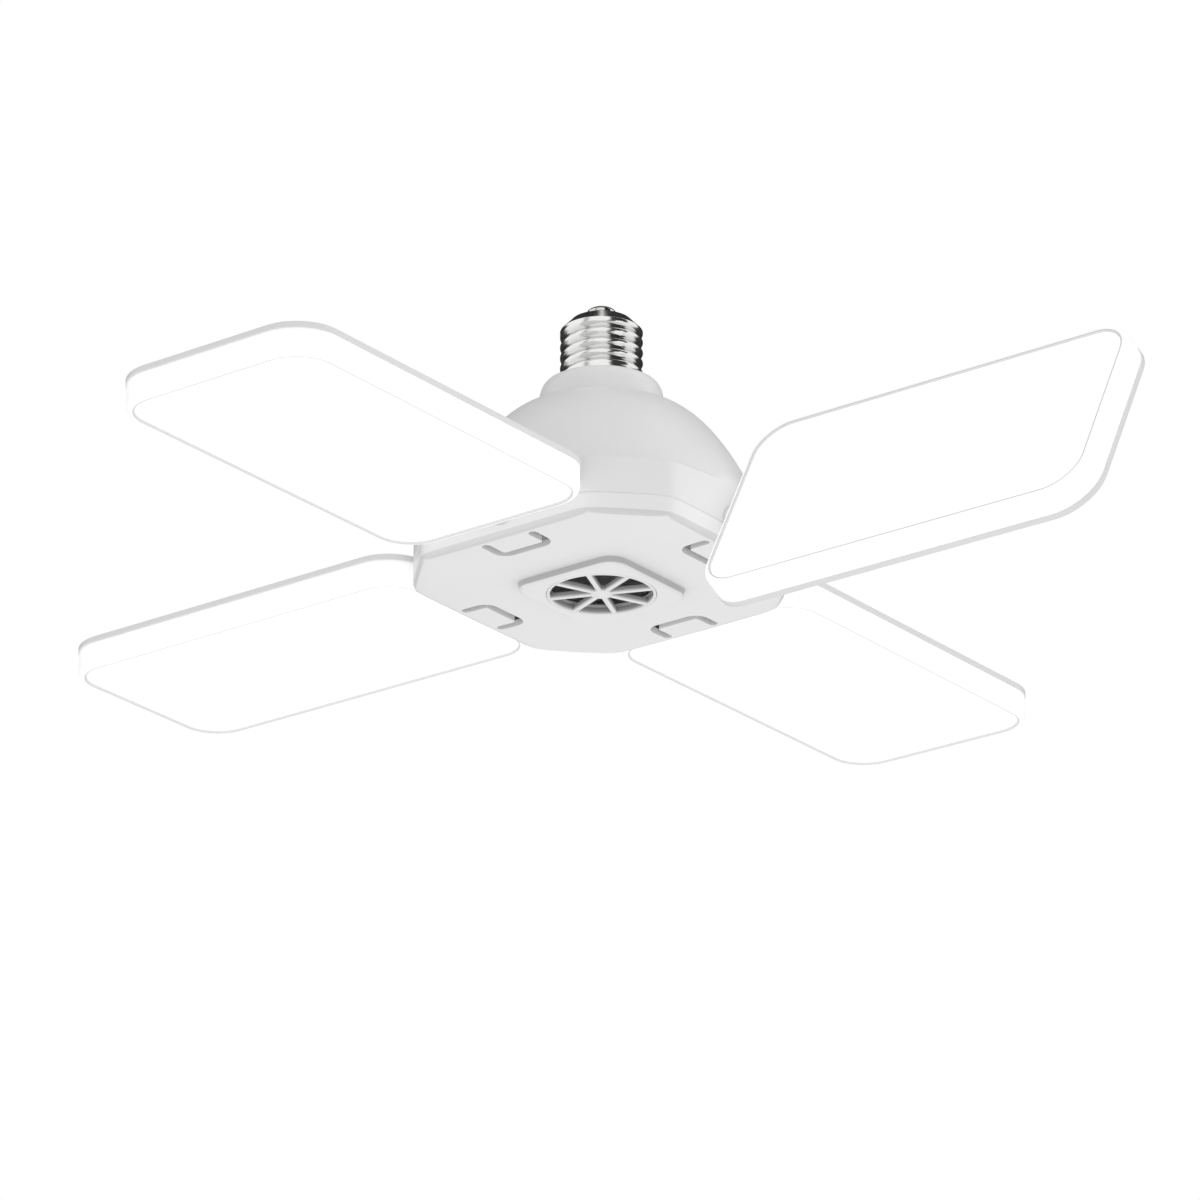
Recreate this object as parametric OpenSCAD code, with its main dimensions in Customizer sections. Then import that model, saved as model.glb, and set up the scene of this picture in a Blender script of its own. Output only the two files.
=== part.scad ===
// Screw-in garage light with four light panels that swivel on barrels in a bell-shaped hub.
// Origin: on the axis, at the lower rim of the screw cap. +Z points up through the cap into the lamp holder.
// Every panel is drawn along +X about its own swivel axis and is then turned to its place round the hub.

/* [Screw cap] */
// Radius of the cap's shell
cap_r = 13.1; // [12.5:0.05:13.6]
// Height of the shell's straight wall
cap_wall_h = 18.3; // [16:0.1:22]
// Sheet thickness of the shell
cap_t = 0.8; // [0.5:0.1:1]
// Height of the cone that closes the shell
cap_cone_h = 3.5; // [2.5:0.25:5]
// Radius of the mouth that holds the insulator
cap_mouth_r = 9; // [8:0.1:10]
// Height of the insulator above the shell
insulator_h = 2.4; // [1.5:0.1:3.5]
// Depth of the insulator inside the shell
insulator_depth = 2.5; // [1.5:0.1:3]
// Radius of the centre contact
contact_r = 4.6; // [3.5:0.1:5.5]
// Height of the centre contact's dome
contact_h = 2.6; // [1.5:0.1:3]
// Height of the upright rim under the dome
contact_rim = 0.9; // [0.4:0.1:1.2]
// Radius of the contact's rivet
rivet_r = 1.5; // [1:0.1:2]
// Length of the rivet below the insulator
rivet_tail = 1.5; // [1:0.5:3]

/* [Hub] */
// Distance from the axis to the sides that face the panels
hub_side = 50.5; // [49:0.1:51]
// Distance from the axis to the corner flats
hub_corner = 58.5; // [56:0.5:60]
// Radius that softens the eight upright edges
hub_edge_r = 59.4; // [59:0.1:60]
// Wall of the housing and of the cover
wall = 2.2; // [1.8:0.1:2.6]
// Radius of the neck under the cap
neck_r = 19.6; // [17.5:0.1:21]
// Radius of the flat top of the neck
neck_lip_r = 16.9; // [14:0.1:17]
// Depth of the neck's flat top below the cap's rim
neck_lip_drop = 0.3; // [0.2:0.1:1]
// Depth below the cap's rim at which the neck's top is rounded off
neck_round_h = 5.7; // [3:0.1:6.5]
// Height of the neck below the cap's rim
neck_h = 10; // [8:0.1:11]
// Bore of the neck
neck_bore_r = 9.8; // [8:0.1:10.5]
// Height of the spigot that carries the cap
spigot_h = 10; // [8:0.5:14]
// Height of the swivel axes below the cap's rim
swivel_drop = 59; // [56:0.1:61]
// Depth of the parting line below the swivel axes
part_drop = 1.7; // [0.5:0.1:2.2]
// Radius of the bell's foot
bell_base_r = 51; // [50.8:0.1:52]
// Height of the bell's foot below the cap's rim
bell_drop = 46.5; // [45.5:0.1:47.5]
// Power of the bell's curve
bell_power = 2; // [1.7:0.05:2.2]
// Height of the corner ledges' outer rim below the cap's rim
ledge_drop = 49.3; // [48.5:0.1:50]

/* [Bottom cover] */
// Height of the cover's upright band
band_h = 6.9; // [6.7:0.1:8.5]
// How far the dished face falls from its rim to the axis
dish_depth = 0.6; // [0.3:0.1:2]
// Bevel along the cover's lower edge
cover_bevel = 1.4; // [0.8:0.1:1.8]
// Half of the raised square's side
boss_half = 20; // [20:0.5:24]
// Corner radius of the raised square
boss_corner_r = 6; // [4:0.5:8]
// Wall of the raised square's sides
boss_wall = 1.4; // [1.2:0.1:1.6]
// Height of the raised square's face below the band's lower edge
boss_drop = 3.3; // [2.8:0.1:5]
// Width of the slot round each tongue
slot_w = 3; // [2:0.1:3.5]
// Half of the distance between a slot's two legs
slot_half = 9; // [8.6:0.1:10]
// Radius from the axis to the closed end of a slot
slot_r = 38; // [37.4:0.1:38.5]
// Length of a slot's legs from its closed end
slot_leg = 8.4; // [6:0.1:8.5]
// Corner radius of a slot's closed end
slot_corner_r = 4.6; // [2:0.1:5]
// Width of each snap hook
hook_w = 14; // [8:1:18]
// Thickness of each snap hook
hook_t = 1.6; // [1:0.1:2]
// Height of each snap hook above the parting line
hook_h = 6.5; // [5.5:0.5:7.5]
// How far a hook's barb stands out
hook_barb = 0.9; // [0.6:0.1:1.2]

/* [Vent grille] */
// Radius of the grille's face
grille_r = 17.1; // [15:0.1:17.5]
// Width of the grille's outer ring
grille_ring = 1; // [0.8:0.1:2]
// Radius of the grille's middle disc
grille_hub_r = 3.4; // [2.5:0.1:5]
// Width of a spoke
grille_spoke = 1.7; // [1:0.1:2.5]
// Number of spokes
grille_spokes = 8; // [6:1:12]
// Width of the flange behind the boss
grille_flange = 1.2; // [0.8:0.1:2]
// Thickness of that flange
grille_flange_t = 1.2; // [0.8:0.1:1.6]

/* [Swivel] */
// Radius of a swivel journal
journal_r = 4.8; // [4.5:0.1:4.9]
// Bore of a swivel journal, for the leads
journal_bore_r = 2.8; // [2:0.1:3]
// Distance from the axis to a journal's inner end
journal_in = 30.5; // [30:0.1:31]
// Distance from the axis to the inner face of a bearing web
web_in = 33.2; // [33.1:0.1:33.6]
// Thickness of a bearing web
web_t = 2.2; // [1.6:0.1:2.4]
// Half width of a bearing saddle
saddle_half = 10; // [9.6:0.1:10.4]
// Thickness of a saddle's side ribs
saddle_rib = 2; // [1.5:0.1:2.2]
// Height of a saddle above the swivel axis
saddle_h = 9; // [8:0.5:11]
// Outer radius of a friction ring
ring_r = 6.3; // [5.9:0.1:6.4]
// Length of a friction ring
ring_len = 6; // [4:0.5:6.5]
// Distance from the axis to a friction ring's inner face
ring_in = 40.6; // [40.4:0.1:41]
// Thickness of a retaining clip
clip_t = 1; // [0.8:0.1:1.2]
// Outer radius of a retaining clip
clip_r = 6.4; // [5.9:0.1:6.5]
// Depth of the clip's groove in the journal
groove_depth = 0.8; // [0.5:0.1:1]
// Angle that a clip leaves open
clip_open = 100; // [80:5:120]
// Distance from a journal's inner end to the leads that rise to the driver
lead_clear = 2.2; // [1.5:0.1:3]

/* [Panels] */
// Distance from the hub's axis to a panel's inner end
panel_in = 51.3; // [51.3:0.1:52.5]
// Distance from the hub's axis to a panel's outer end
panel_out = 191; // [180:0.5:210]
// Width of a panel
panel_w = 76; // [72:0.5:90]
// Corner radius at the outer end
panel_out_r = 14.5; // [10:0.5:24]
// Corner radius at the inner end
panel_in_r = 14; // [8:0.5:20]
// Height of a panel's back above its swivel axis
back_h = 5.2; // [4.8:0.1:6]
// Thickness of the back plate
plate_t = 2.4; // [2.2:0.1:3]
// Depth of the step round the back
back_step = 0.4; // [0.2:0.1:1.2]
// Width of the step round the back
back_step_w = 2.4; // [1:0.1:4]
// Depth of a panel's light face below its swivel axis
face_h = 5.6; // [4.8:0.1:7]
// Wall of the diffuser
lens_t = 1.5; // [1.2:0.1:1.6]
// How far the diffuser stands in from the back shell's edge
lens_inset = 0.3; // [0.2:0.1:1.5]
// Rounding of the diffuser's lower edge
lens_edge = 2; // [1.5:0.1:4]
// Thickness of the rib that locates the diffuser
rib_t = 1.4; // [1:0.1:1.8]
// Height of that rib
rib_h = 2.6; // [2:0.1:3]
// Angle of the first panel about its own swivel axis, as the photograph shows it
first_turn = -118; // [-120:1:120]

/* [Swivel arm] */
// Radius of the arm's neck in the panel's end
arm_neck_r = 3.4; // [3:0.1:3.6]
// Bore of the arm's neck
arm_bore_r = 1.6; // [1.4:0.1:1.8]
// Length of the arm's tab
tab_len = 19; // [16:0.5:20]
// Width of the arm's tab
tab_w = 24; // [20:0.5:28]
// Depth of the tab below the swivel axis
tab_low = 2.2; // [2.1:0.1:2.4]
// Radius of a screw shank in a panel
screw_r = 1.1; // [0.9:0.1:1.3]
// Radius of a screw head in a panel
screw_head_r = 2.2; // [1.8:0.1:2.5]
// Height of a screw head in a panel
screw_head_h = 1.1; // [0.8:0.1:1.2]
// Depth of a screw's thread in the back plate
screw_bite = 1.8; // [1.2:0.1:2]
// Margin between a screw head and the tab's edge
arm_screw_margin = 1.2; // [0.6:0.1:2]

/* [Light board] */
// Gap between the arm's tab and the light board
board_gap = 2.5; // [1:0.5:5]
// Gap between the light board and the diffuser's rib
board_margin = 1; // [0.5:0.1:3]
// Thickness of the light board
board_t = 1.2; // [1:0.1:1.6]
// Length of a light package
led_len = 3.5; // [3:0.1:5]
// Width of a light package
led_w = 2.8; // [2:0.1:3.5]
// Height of a light package
led_h = 0.7; // [0.5:0.1:0.9]
// Number of packages along a panel
led_along = 9; // [6:1:10]
// Number of packages across a panel
led_across = 4; // [3:1:5]

/* [Driver] */
// Radius of the driver board
driver_r = 32; // [31:0.5:34]
// Thickness of the driver board
driver_t = 1.6; // [1.2:0.1:2]
// Height of the driver board's top below the cap's rim
driver_drop = 37.2; // [35:0.1:39]
// Radius of the circle of the board's posts
post_circle_r = 26; // [24:0.5:27]
// Radius of a post
post_r = 3.2; // [2.8:0.1:3.6]
// Radius of a driver screw's shank
driver_screw_r = 1.25; // [1:0.05:1.4]
// Length of a driver screw in its post
driver_screw_len = 6; // [4:0.5:8]
// Radius of the leads' insulation
lead_r = 0.7; // [0.5:0.05:0.8]

/* [Driver parts] */
// Place of the transformer on the driver board
trafo_at = [-9, 2];
// Width of the transformer
trafo_w = 16; // [12:0.5:18]
// Depth of the transformer
trafo_d = 14; // [10:0.5:15]
// Height of the transformer
trafo_h = 13; // [10:0.5:15]
// Thickness of the transformer's core
trafo_core_t = 2.8; // [2:0.1:3.5]
// Place of the bulk capacitor
can_at = [9, 8];
// Radius of the bulk capacitor
can_r = 5; // [4:0.1:5.5]
// Length of the bulk capacitor
can_h = 20; // [14:0.5:22]
// Place of the choke
choke_at = [8, -9];
// Radius of the choke's flanges
choke_r = 4.4; // [3.5:0.1:5]
// Radius of the choke's winding
choke_core_r = 3.6; // [2.5:0.1:4]
// Height of the choke
choke_h = 9; // [6:0.5:12]
// Thickness of the choke's flanges
choke_flange = 1.4; // [0.8:0.1:2]
// Place of the bridge rectifier
bridge_at = [-4, -14];
// Length of the bridge rectifier
bridge_len = 6.4; // [5:0.1:8]
// Width of the bridge rectifier
bridge_w = 5; // [4:0.1:6]
// Height of the bridge rectifier's body
bridge_h = 2.2; // [1.5:0.1:2.6]
// Gap between the rectifier's body and the board
bridge_lift = 0.4; // [0.2:0.1:0.8]
// Width of a rectifier pin
bridge_pin_w = 1; // [0.6:0.1:1.4]
// Thickness of a rectifier pin
bridge_pin_t = 0.9; // [0.6:0.1:1.2]
// Reach of a rectifier pin beyond the body
bridge_pin_out = 1.1; // [0.8:0.1:1.4]
// Place of the fuse resistor
fuse_at = [0, 18];
// Radius of the fuse resistor
fuse_r = 1.8; // [1.2:0.1:1.9]
// Length of the fuse resistor
fuse_len = 9; // [7:0.5:10]
// Radius of the resistor's wires
fuse_wire_r = 0.4; // [0.3:0.05:0.5]
// Distance between the resistor's wires
fuse_span = 13; // [12:0.5:15]
// Height of the resistor's axis over the board
fuse_lift = 2; // [2:0.1:3]
// Place of the driver chip
chip_at = [-13, -11];
// Width of the driver chip's body
chip_w = 4; // [3:0.1:5]
// Length of the driver chip's body
chip_len = 5; // [4.6:0.1:6]
// Height of the driver chip's body
chip_h = 1.5; // [1:0.1:2]
// Gap between the chip's body and the board
chip_lift = 0.2; // [0.1:0.05:0.3]
// Spacing of the chip's pins
chip_pitch = 1.27; // [1:0.01:1.27]
// Width of a chip pin
chip_pin_w = 0.4; // [0.3:0.05:0.5]
// Thickness of a chip pin
chip_pin_t = 0.6; // [0.4:0.05:0.8]
// Reach of a chip pin beyond the body
chip_pin_out = 1; // [0.6:0.1:1.5]
// Number of pins on each side of the chip
chip_pins = 4; // [3:1:4]

/* [Hidden] */
$fn = 96;
hull_fn = 40;
fit = 0.05;
gap = 0.1;
over = 1;
bell_steps = 18;
dish_steps = 10;
round_step = 15;
lens_knee = 0.12;
lens_half = 0.5;
swivel_z = -swivel_drop;
part_z = swivel_z - part_drop;
band_z = part_z - band_h;
boss_z = band_z - boss_drop;
cap_top = cap_wall_h + cap_cone_h;
insulator_top = cap_top + insulator_h;
insulator_low = cap_top - insulator_depth;
bell_h = bell_drop - neck_h;
driver_top = -driver_drop;
driver_low = driver_top - driver_t;
web_out = web_in + web_t;
plate_low = back_h - plate_t;
rib_inset = lens_inset + lens_t + gap;
tab_in = panel_in + rib_inset + rib_t + 2 * gap;
tab_out = tab_in + tab_len;
neck_out = tab_in + over;
board_in = tab_out + board_gap;
board_out = panel_out - rib_inset - rib_t - board_margin;
board_w = panel_w - 2 * (rib_inset + rib_t + board_margin);
board_low = plate_low - board_t;
led_pitch_x = (board_out - board_in) / led_along;
led_pitch_y = board_w / led_across;
clip_in = web_in - clip_t - 2 * gap;
lead_y = lead_r + fit;
lead_rise_r = journal_in - lead_clear;
turns = [first_turn, 0, 0, 0];

// ---- Shared forms ----

// The bell's outer curve: z at radius r
function bell_t(r) = (r - neck_r) / (bell_base_r - neck_r);
function bell_z(r) = -neck_h - bell_h * pow(bell_t(r), bell_power);
function bell_slope(r) = bell_h * bell_power * pow(bell_t(r), bell_power - 1) / (bell_base_r - neck_r);
function bell_radius(i) = neck_r + (bell_base_r - neck_r) * i / bell_steps;

// The snap hooks: their top, and the radius of their outer face just inside the corner's wall
hook_top = part_z + hook_h;
corner_inner_r = min(hub_corner, hub_edge_r) - wall;
hook_face = corner_inner_r - hook_barb - gap;

// A point on the bell's curve, moved inwards by depth
function bell_point(r, depth) =
  let (s = bell_slope(r), n = sqrt(1 + s * s))
  [r - depth * s / n, bell_z(r) - depth / n];

// The cover's dished face: z at radius r
function dish_z(r) = band_z - dish_depth * (1 - pow(r / hub_corner, 2));

// Octagon of the hub, drawn in by inset: four sides, four corner flats and softened edges
module hub_outline(inset) {
  intersection() {
    square(2 * (hub_side - inset), center = true);
    rotate(45) square(2 * (hub_corner - inset), center = true);
    circle(hub_edge_r - inset);
  }
}

// Square with round corners
module round_square(half, r) {
  union() {
    square([2 * half, 2 * (half - r)], center = true);
    square([2 * (half - r), 2 * half], center = true);
    for (x = [-1, 1], y = [-1, 1]) translate([x * (half - r), y * (half - r)]) circle(r);
  }
}

// Outline of a panel, drawn in by inset
module panel_outline(inset) {
  low = panel_in + inset;
  high = panel_out - inset;
  half = panel_w / 2 - inset;
  r_in = panel_in_r - inset;
  r_out = panel_out_r - inset;
  union() {
    translate([low + r_in, -half]) square([high - r_out - low - r_in, 2 * half]);
    translate([low, r_in - half]) square([panel_in_r, 2 * (half - r_in)]);
    translate([high - panel_out_r, r_out - half]) square([panel_out_r, 2 * (half - r_out)]);
    for (side = [-1, 1]) {
      translate([low + r_in, side * (half - r_in)]) circle(r_in);
      translate([high - r_out, side * (half - r_out)]) circle(r_out);
    }
  }
}

// Round bar along X, on a swivel axis
module bar_x(r, from, to) {
  translate([from, 0, 0]) rotate([0, 90, 0]) cylinder(r = r, h = to - from);
}

// Box from one corner to the other
module span(low, high) {
  translate(low) cube(high - low);
}

// Places of the four barrels round the hub
module each_barrel() {
  for (k = [0:3]) rotate([0, 0, 90 * k]) translate([0, 0, swivel_z]) children();
}

// One barrel's place in the hub
module at_barrel(k) {
  rotate([0, 0, 90 * (k - 1)]) translate([0, 0, swivel_z]) children();
}

// One panel's place and turn
module at_panel(k) {
  at_barrel(k) rotate([turns[k - 1], 0, 0]) children();
}

// Places of the hub's four corners
module each_corner() {
  for (k = [0:3]) rotate([0, 0, 45 + 90 * k]) children();
}

// ---- Screw cap ----

module cap_shell() {
  color("silver") rotate_extrude() polygon([
    [cap_r - cap_t, 0],
    [cap_r, 0],
    [cap_r, cap_wall_h],
    [cap_mouth_r + cap_t, cap_top],
    [cap_mouth_r, cap_top],
    [cap_mouth_r, cap_top - cap_t],
    [cap_r - cap_t, cap_wall_h - cap_t / 2]
  ]);
}

module cap_insulator() {
  color("dimgray") rotate_extrude() polygon([
    [rivet_r + fit, insulator_low],
    [cap_mouth_r - fit, insulator_low],
    [cap_mouth_r - fit, cap_top],
    [contact_r + cap_t, insulator_top],
    [rivet_r + fit, insulator_top]
  ]);
}

module cap_contact() {
  color("lightgray") {
    translate([0, 0, insulator_low - rivet_tail])
      cylinder(r = rivet_r, h = insulator_top - insulator_low + rivet_tail);
    rotate_extrude() polygon(concat(
      [[0, insulator_top], [contact_r, insulator_top]],
      [for (a = [0:round_step:90]) [
        contact_r * cos(a),
        insulator_top + contact_rim + (contact_h - contact_rim) * sin(a)
      ]]
    ));
  }
}

// The centre lead meets the rivet, and the side lead is soldered to the shell above the spigot
module cap_leads() {
  side_r = neck_bore_r - lead_r - gap;
  solder_z = spigot_h + 2 * lead_r;
  color("black") {
    translate([0, 0, driver_top]) cylinder(r = lead_r, h = insulator_low - rivet_tail - driver_top);
    translate([side_r, 0, driver_top]) cylinder(r = lead_r, h = solder_z - driver_top);
    translate([side_r, 0, solder_z]) sphere(lead_r);
    translate([0, 0, solder_z]) bar_x(lead_r, side_r, cap_r - cap_t - fit);
  }
}

// ---- Housing ----

module bell_outside() {
  edge_r = hub_edge_r + over;
  rotate_extrude() polygon(concat(
    [[0, part_z], [edge_r, part_z], [edge_r, -ledge_drop]],
    [for (i = [bell_steps:-1:0]) [bell_radius(i), bell_z(bell_radius(i))]],
    [for (a = [0:round_step:90]) [
      neck_lip_r + (neck_r - neck_lip_r) * cos(a),
      -neck_round_h + (neck_round_h - neck_lip_drop) * sin(a)
    ]],
    [[0, -neck_lip_drop]]
  ));
}

module bell_inside() {
  floor_z = part_z - over;
  edge_r = hub_edge_r + over;
  rotate_extrude() polygon(concat(
    [[0, floor_z], [edge_r, floor_z], [edge_r, -ledge_drop - wall], [bell_base_r, -bell_drop - wall]],
    [for (i = [bell_steps:-1:1]) bell_point(bell_radius(i), wall)],
    [[neck_bore_r, -neck_h - wall], [0, -neck_h - wall]]
  ));
}

// Upper half of a barrel's seat: an inner web, two side ribs and a pad over the friction ring
module saddle() {
  side_in = hub_side - wall;
  difference() {
    union() {
      span([web_in, -saddle_half, 0], [web_out, saddle_half, saddle_h]);
      for (side = [-1, 1]) {
        low = side > 0 ? saddle_half - saddle_rib : -saddle_half;
        span([web_in, low, 0], [side_in + gap, low + saddle_rib, saddle_h]);
      }
      span([ring_in, -saddle_half, 0], [ring_in + ring_len, saddle_half, saddle_h]);
    }
    bar_x(journal_r + fit, web_in - over, hub_side);
    bar_x(ring_r + fit, ring_in - fit, ring_in + ring_len + fit);
  }
}

module bell_housing() {
  post_top = bell_z(post_circle_r) - wall / 2;
  catch_z = hook_top - hook_barb - gap;
  catch_out = corner_inner_r + gap;
  color("whitesmoke") {
    difference() {
      union() {
        intersection() {
          bell_outside();
          translate([0, 0, part_z - over]) linear_extrude(2 * over - part_z) hub_outline(0);
        }
        cylinder(r = cap_r - cap_t - fit, h = spigot_h);
        translate([0, 0, -neck_lip_drop - over]) cylinder(r = cap_r - gap, h = neck_lip_drop + over);
      }
      intersection() {
        bell_inside();
        translate([0, 0, part_z - over]) linear_extrude(-part_z) hub_outline(wall);
      }
      translate([0, 0, -neck_h - wall - over])
        cylinder(r = neck_bore_r, h = neck_h + wall + spigot_h + 2 * over);
      each_barrel() bar_x(journal_r + fit, web_in, hub_side + over);
    }
    each_barrel() saddle();
    each_corner() translate([post_circle_r, 0, driver_top]) difference() {
      cylinder(r = post_r, h = post_top - driver_top);
      translate([0, 0, -over]) cylinder(r = driver_screw_r + fit, h = driver_screw_len + 2 * over);
    }
    each_corner() span(
      [hook_face + gap, -hook_w / 2, catch_z - hook_barb],
      [catch_out, hook_w / 2, catch_z]
    );
  }
}

// ---- Bottom cover ----

module dish_outside() {
  edge_r = hub_edge_r + over;
  rotate_extrude() polygon(concat(
    [[0, part_z]],
    [for (i = [0:dish_steps]) [edge_r * i / dish_steps, dish_z(edge_r * i / dish_steps)]],
    [[edge_r, part_z]]
  ));
}

module dish_inside() {
  edge_r = hub_edge_r + over;
  rotate_extrude() polygon(concat(
    [[0, part_z + over]],
    [for (i = [0:dish_steps]) [edge_r * i / dish_steps, dish_z(edge_r * i / dish_steps) + wall]],
    [[edge_r, part_z + over]]
  ));
}

// Bevel along one straight lower edge, at a distance from the axis
module edge_cut(distance) {
  side = cover_bevel * sqrt(2);
  translate([distance, 0, dish_z(distance)]) rotate([0, 45, 0])
    cube([side, 2 * hub_corner, side], center = true);
}

// U-shaped slot that frees the tongue under one barrel
module tongue_slot() {
  leg_end = slot_r + slot_leg;
  outer = slot_half + slot_w / 2;
  inner = slot_half - slot_w / 2;
  low = slot_r - slot_w / 2;
  r = slot_corner_r;
  difference() {
    union() {
      translate([low + r, -outer]) square([leg_end - low - r, 2 * outer]);
      translate([low, r - outer]) square([r, 2 * (outer - r)]);
      for (side = [-1, 1]) {
        translate([low + r, side * (outer - r)]) circle(r);
        translate([leg_end, side * slot_half]) circle(slot_w / 2);
      }
    }
    translate([low + slot_w, -inner]) square([leg_end, 2 * inner]);
  }
}

// Lower half of a barrel's seat: an inner web, and a cradle on the tongue
module cradle() {
  floor_z = band_z - swivel_z;
  half = slot_half - slot_w / 2 - gap;
  difference() {
    union() {
      span([web_in, -saddle_half, floor_z], [web_out, saddle_half, -gap]);
      span([ring_in, -half, floor_z], [ring_in + ring_len, half, -journal_r / 2]);
    }
    bar_x(journal_r + fit, web_in - over, hub_side);
    bar_x(ring_r + fit, ring_in - fit, ring_in + ring_len + over);
  }
}

// Snap hook that rises into the housing at a corner
module snap_hook() {
  floor_z = dish_z(hook_face) + wall / 2;
  span([hook_face - hook_t, -hook_w / 2, floor_z], [hook_face, hook_w / 2, hook_top]);
  translate([hook_face, 0, hook_top - hook_barb]) rotate([90, 0, 0]) translate([0, 0, -hook_w / 2])
    linear_extrude(hook_w) polygon([[-gap, 0], [hook_barb, 0], [-gap, hook_barb]]);
}

module bottom_cover() {
  color("white") {
    difference() {
      union() {
        intersection() {
          dish_outside();
          translate([0, 0, boss_z]) linear_extrude(part_z - boss_z) hub_outline(0);
        }
        translate([0, 0, boss_z]) linear_extrude(dish_z(0) - boss_z + wall)
          round_square(boss_half, boss_corner_r);
      }
      intersection() {
        dish_inside();
        translate([0, 0, boss_z]) linear_extrude(part_z - boss_z + over) hub_outline(wall);
      }
      translate([0, 0, boss_z + wall]) linear_extrude(swivel_drop)
        round_square(boss_half - boss_wall, boss_corner_r - boss_wall);
      translate([0, 0, boss_z - over]) cylinder(r = grille_r + gap, h = wall + 2 * over);
      for (k = [0:3]) rotate(90 * k) {
        edge_cut(hub_side);
        rotate(45) edge_cut(hub_corner);
        translate([0, 0, boss_z]) linear_extrude(swivel_z - journal_r - over - boss_z) tongue_slot();
      }
      each_barrel() {
        bar_x(journal_r + fit, web_in, hub_side + over);
        bar_x(ring_r + fit, ring_in - fit, ring_in + ring_len + fit);
        bar_x(clip_r + gap, clip_in - gap, clip_in + clip_t + gap);
      }
    }
    each_barrel() cradle();
    each_corner() snap_hook();
  }
}

module vent_grille() {
  inner = grille_r - grille_ring;
  flange_r = min(grille_r + grille_flange, boss_half - boss_wall - gap);
  color("gainsboro") {
    difference() {
      union() {
        translate([0, 0, boss_z]) cylinder(r = grille_r, h = wall);
        translate([0, 0, boss_z + wall]) cylinder(r = flange_r, h = grille_flange_t);
      }
      translate([0, 0, boss_z - over]) cylinder(r = inner, h = wall + grille_flange_t + 2 * over);
    }
    translate([0, 0, boss_z]) cylinder(r = grille_hub_r, h = wall);
    for (k = [0:grille_spokes - 1]) rotate(360 * (k + 0.5) / grille_spokes)
      span([grille_hub_r - gap, -grille_spoke / 2, boss_z], [inner + gap, grille_spoke / 2, boss_z + wall]);
  }
}

// ---- Driver ----

module driver_board() {
  color("darkgreen") difference() {
    translate([0, 0, driver_low]) cylinder(r = driver_r, h = driver_t);
    each_corner() translate([post_circle_r, 0, driver_low - over])
      cylinder(r = driver_screw_r + 2 * gap, h = driver_t + 2 * over);
  }
}

module driver_screws() {
  head_h = driver_screw_r;
  color("silver") each_corner() translate([post_circle_r, 0, 0]) {
    translate([0, 0, driver_low - head_h]) cylinder(r = 2 * driver_screw_r, h = head_h);
    translate([0, 0, driver_low]) cylinder(r = driver_screw_r, h = driver_t + driver_screw_len);
  }
}

// Hangs a part under the driver board at a place
module on_board(at) {
  translate([at.x, at.y, driver_low]) mirror([0, 0, 1]) children();
}

// Core of two halves round a wound bobbin
module transformer() {
  half = [trafo_w / 2, trafo_d / 2];
  color("darkorange") on_board(trafo_at) {
    span([-half.x, -half.y, 0], [half.x, half.y, trafo_core_t]);
    span([-half.x, -half.y, trafo_h - trafo_core_t], [half.x, half.y, trafo_h]);
    for (x = [-half.x, half.x - trafo_core_t]) span([x, -half.y, 0], [x + trafo_core_t, half.y, trafo_h]);
    cylinder(r = half.x - trafo_core_t - gap, h = trafo_h);
  }
}

module bulk_capacitor() {
  color("navy") on_board(can_at) cylinder(r = can_r, h = can_h);
}

module choke() {
  color("darkslategray") on_board(choke_at) {
    cylinder(r = choke_core_r, h = choke_h);
    for (z = [0, choke_h - choke_flange]) translate([0, 0, z]) cylinder(r = choke_r, h = choke_flange);
  }
}

module bridge_rectifier() {
  half = [bridge_len / 2, bridge_w / 2];
  out = half.y + bridge_pin_out;
  color("black") on_board(bridge_at) {
    span([-half.x, -half.y, bridge_lift], [half.x, half.y, bridge_lift + bridge_h]);
    for (x = [-half.x, half.x - bridge_pin_w], turn = [0, 180]) rotate(turn)
      span([x, half.y - gap, 0], [x + bridge_pin_w, out, bridge_pin_t]);
  }
}

module fuse_resistor() {
  color("firebrick") on_board(fuse_at) translate([0, 0, fuse_lift]) {
    bar_x(fuse_r, -fuse_len / 2, fuse_len / 2);
    bar_x(fuse_wire_r, -fuse_span / 2, fuse_span / 2);
    for (x = [-fuse_span / 2, fuse_span / 2])
      translate([x, 0, -fuse_lift]) cylinder(r = fuse_wire_r, h = fuse_lift);
  }
}

module driver_chip() {
  half = [chip_w / 2, chip_len / 2];
  first = -chip_pitch * (chip_pins - 1) / 2;
  color("black") on_board(chip_at) {
    span([-half.x, -half.y, chip_lift], [half.x, half.y, chip_lift + chip_h]);
    for (k = [0:chip_pins - 1], turn = [0, 180]) rotate(turn) translate([half.x, first + chip_pitch * k, 0])
      span([-gap, -chip_pin_w / 2, 0], [chip_pin_out, chip_pin_w / 2, chip_pin_t]);
  }
}

// Leads from the driver board to the inner end of each barrel, where they may twist
module hub_leads() {
  color("red") each_barrel() for (y = [-lead_y, lead_y]) translate([0, y, 0]) {
    translate([lead_rise_r, 0, 0]) cylinder(r = lead_r, h = driver_low - swivel_z);
    translate([lead_rise_r, 0, 0]) sphere(lead_r);
    bar_x(lead_r, lead_rise_r, journal_in);
  }
}

module friction_ring() {
  color("dimgray") difference() {
    bar_x(ring_r, ring_in, ring_in + ring_len);
    bar_x(journal_r + fit, ring_in - over, ring_in + ring_len + over);
  }
}

// ---- Panel, along +X about its swivel axis ----

// Places of the screws that hold the arm's tab
module each_arm_screw() {
  edge = screw_head_r + arm_screw_margin;
  for (x = [tab_in + edge, tab_out - edge], side = [-1, 1])
    translate([x, side * (tab_w / 2 - edge), 0]) children();
}

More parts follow.
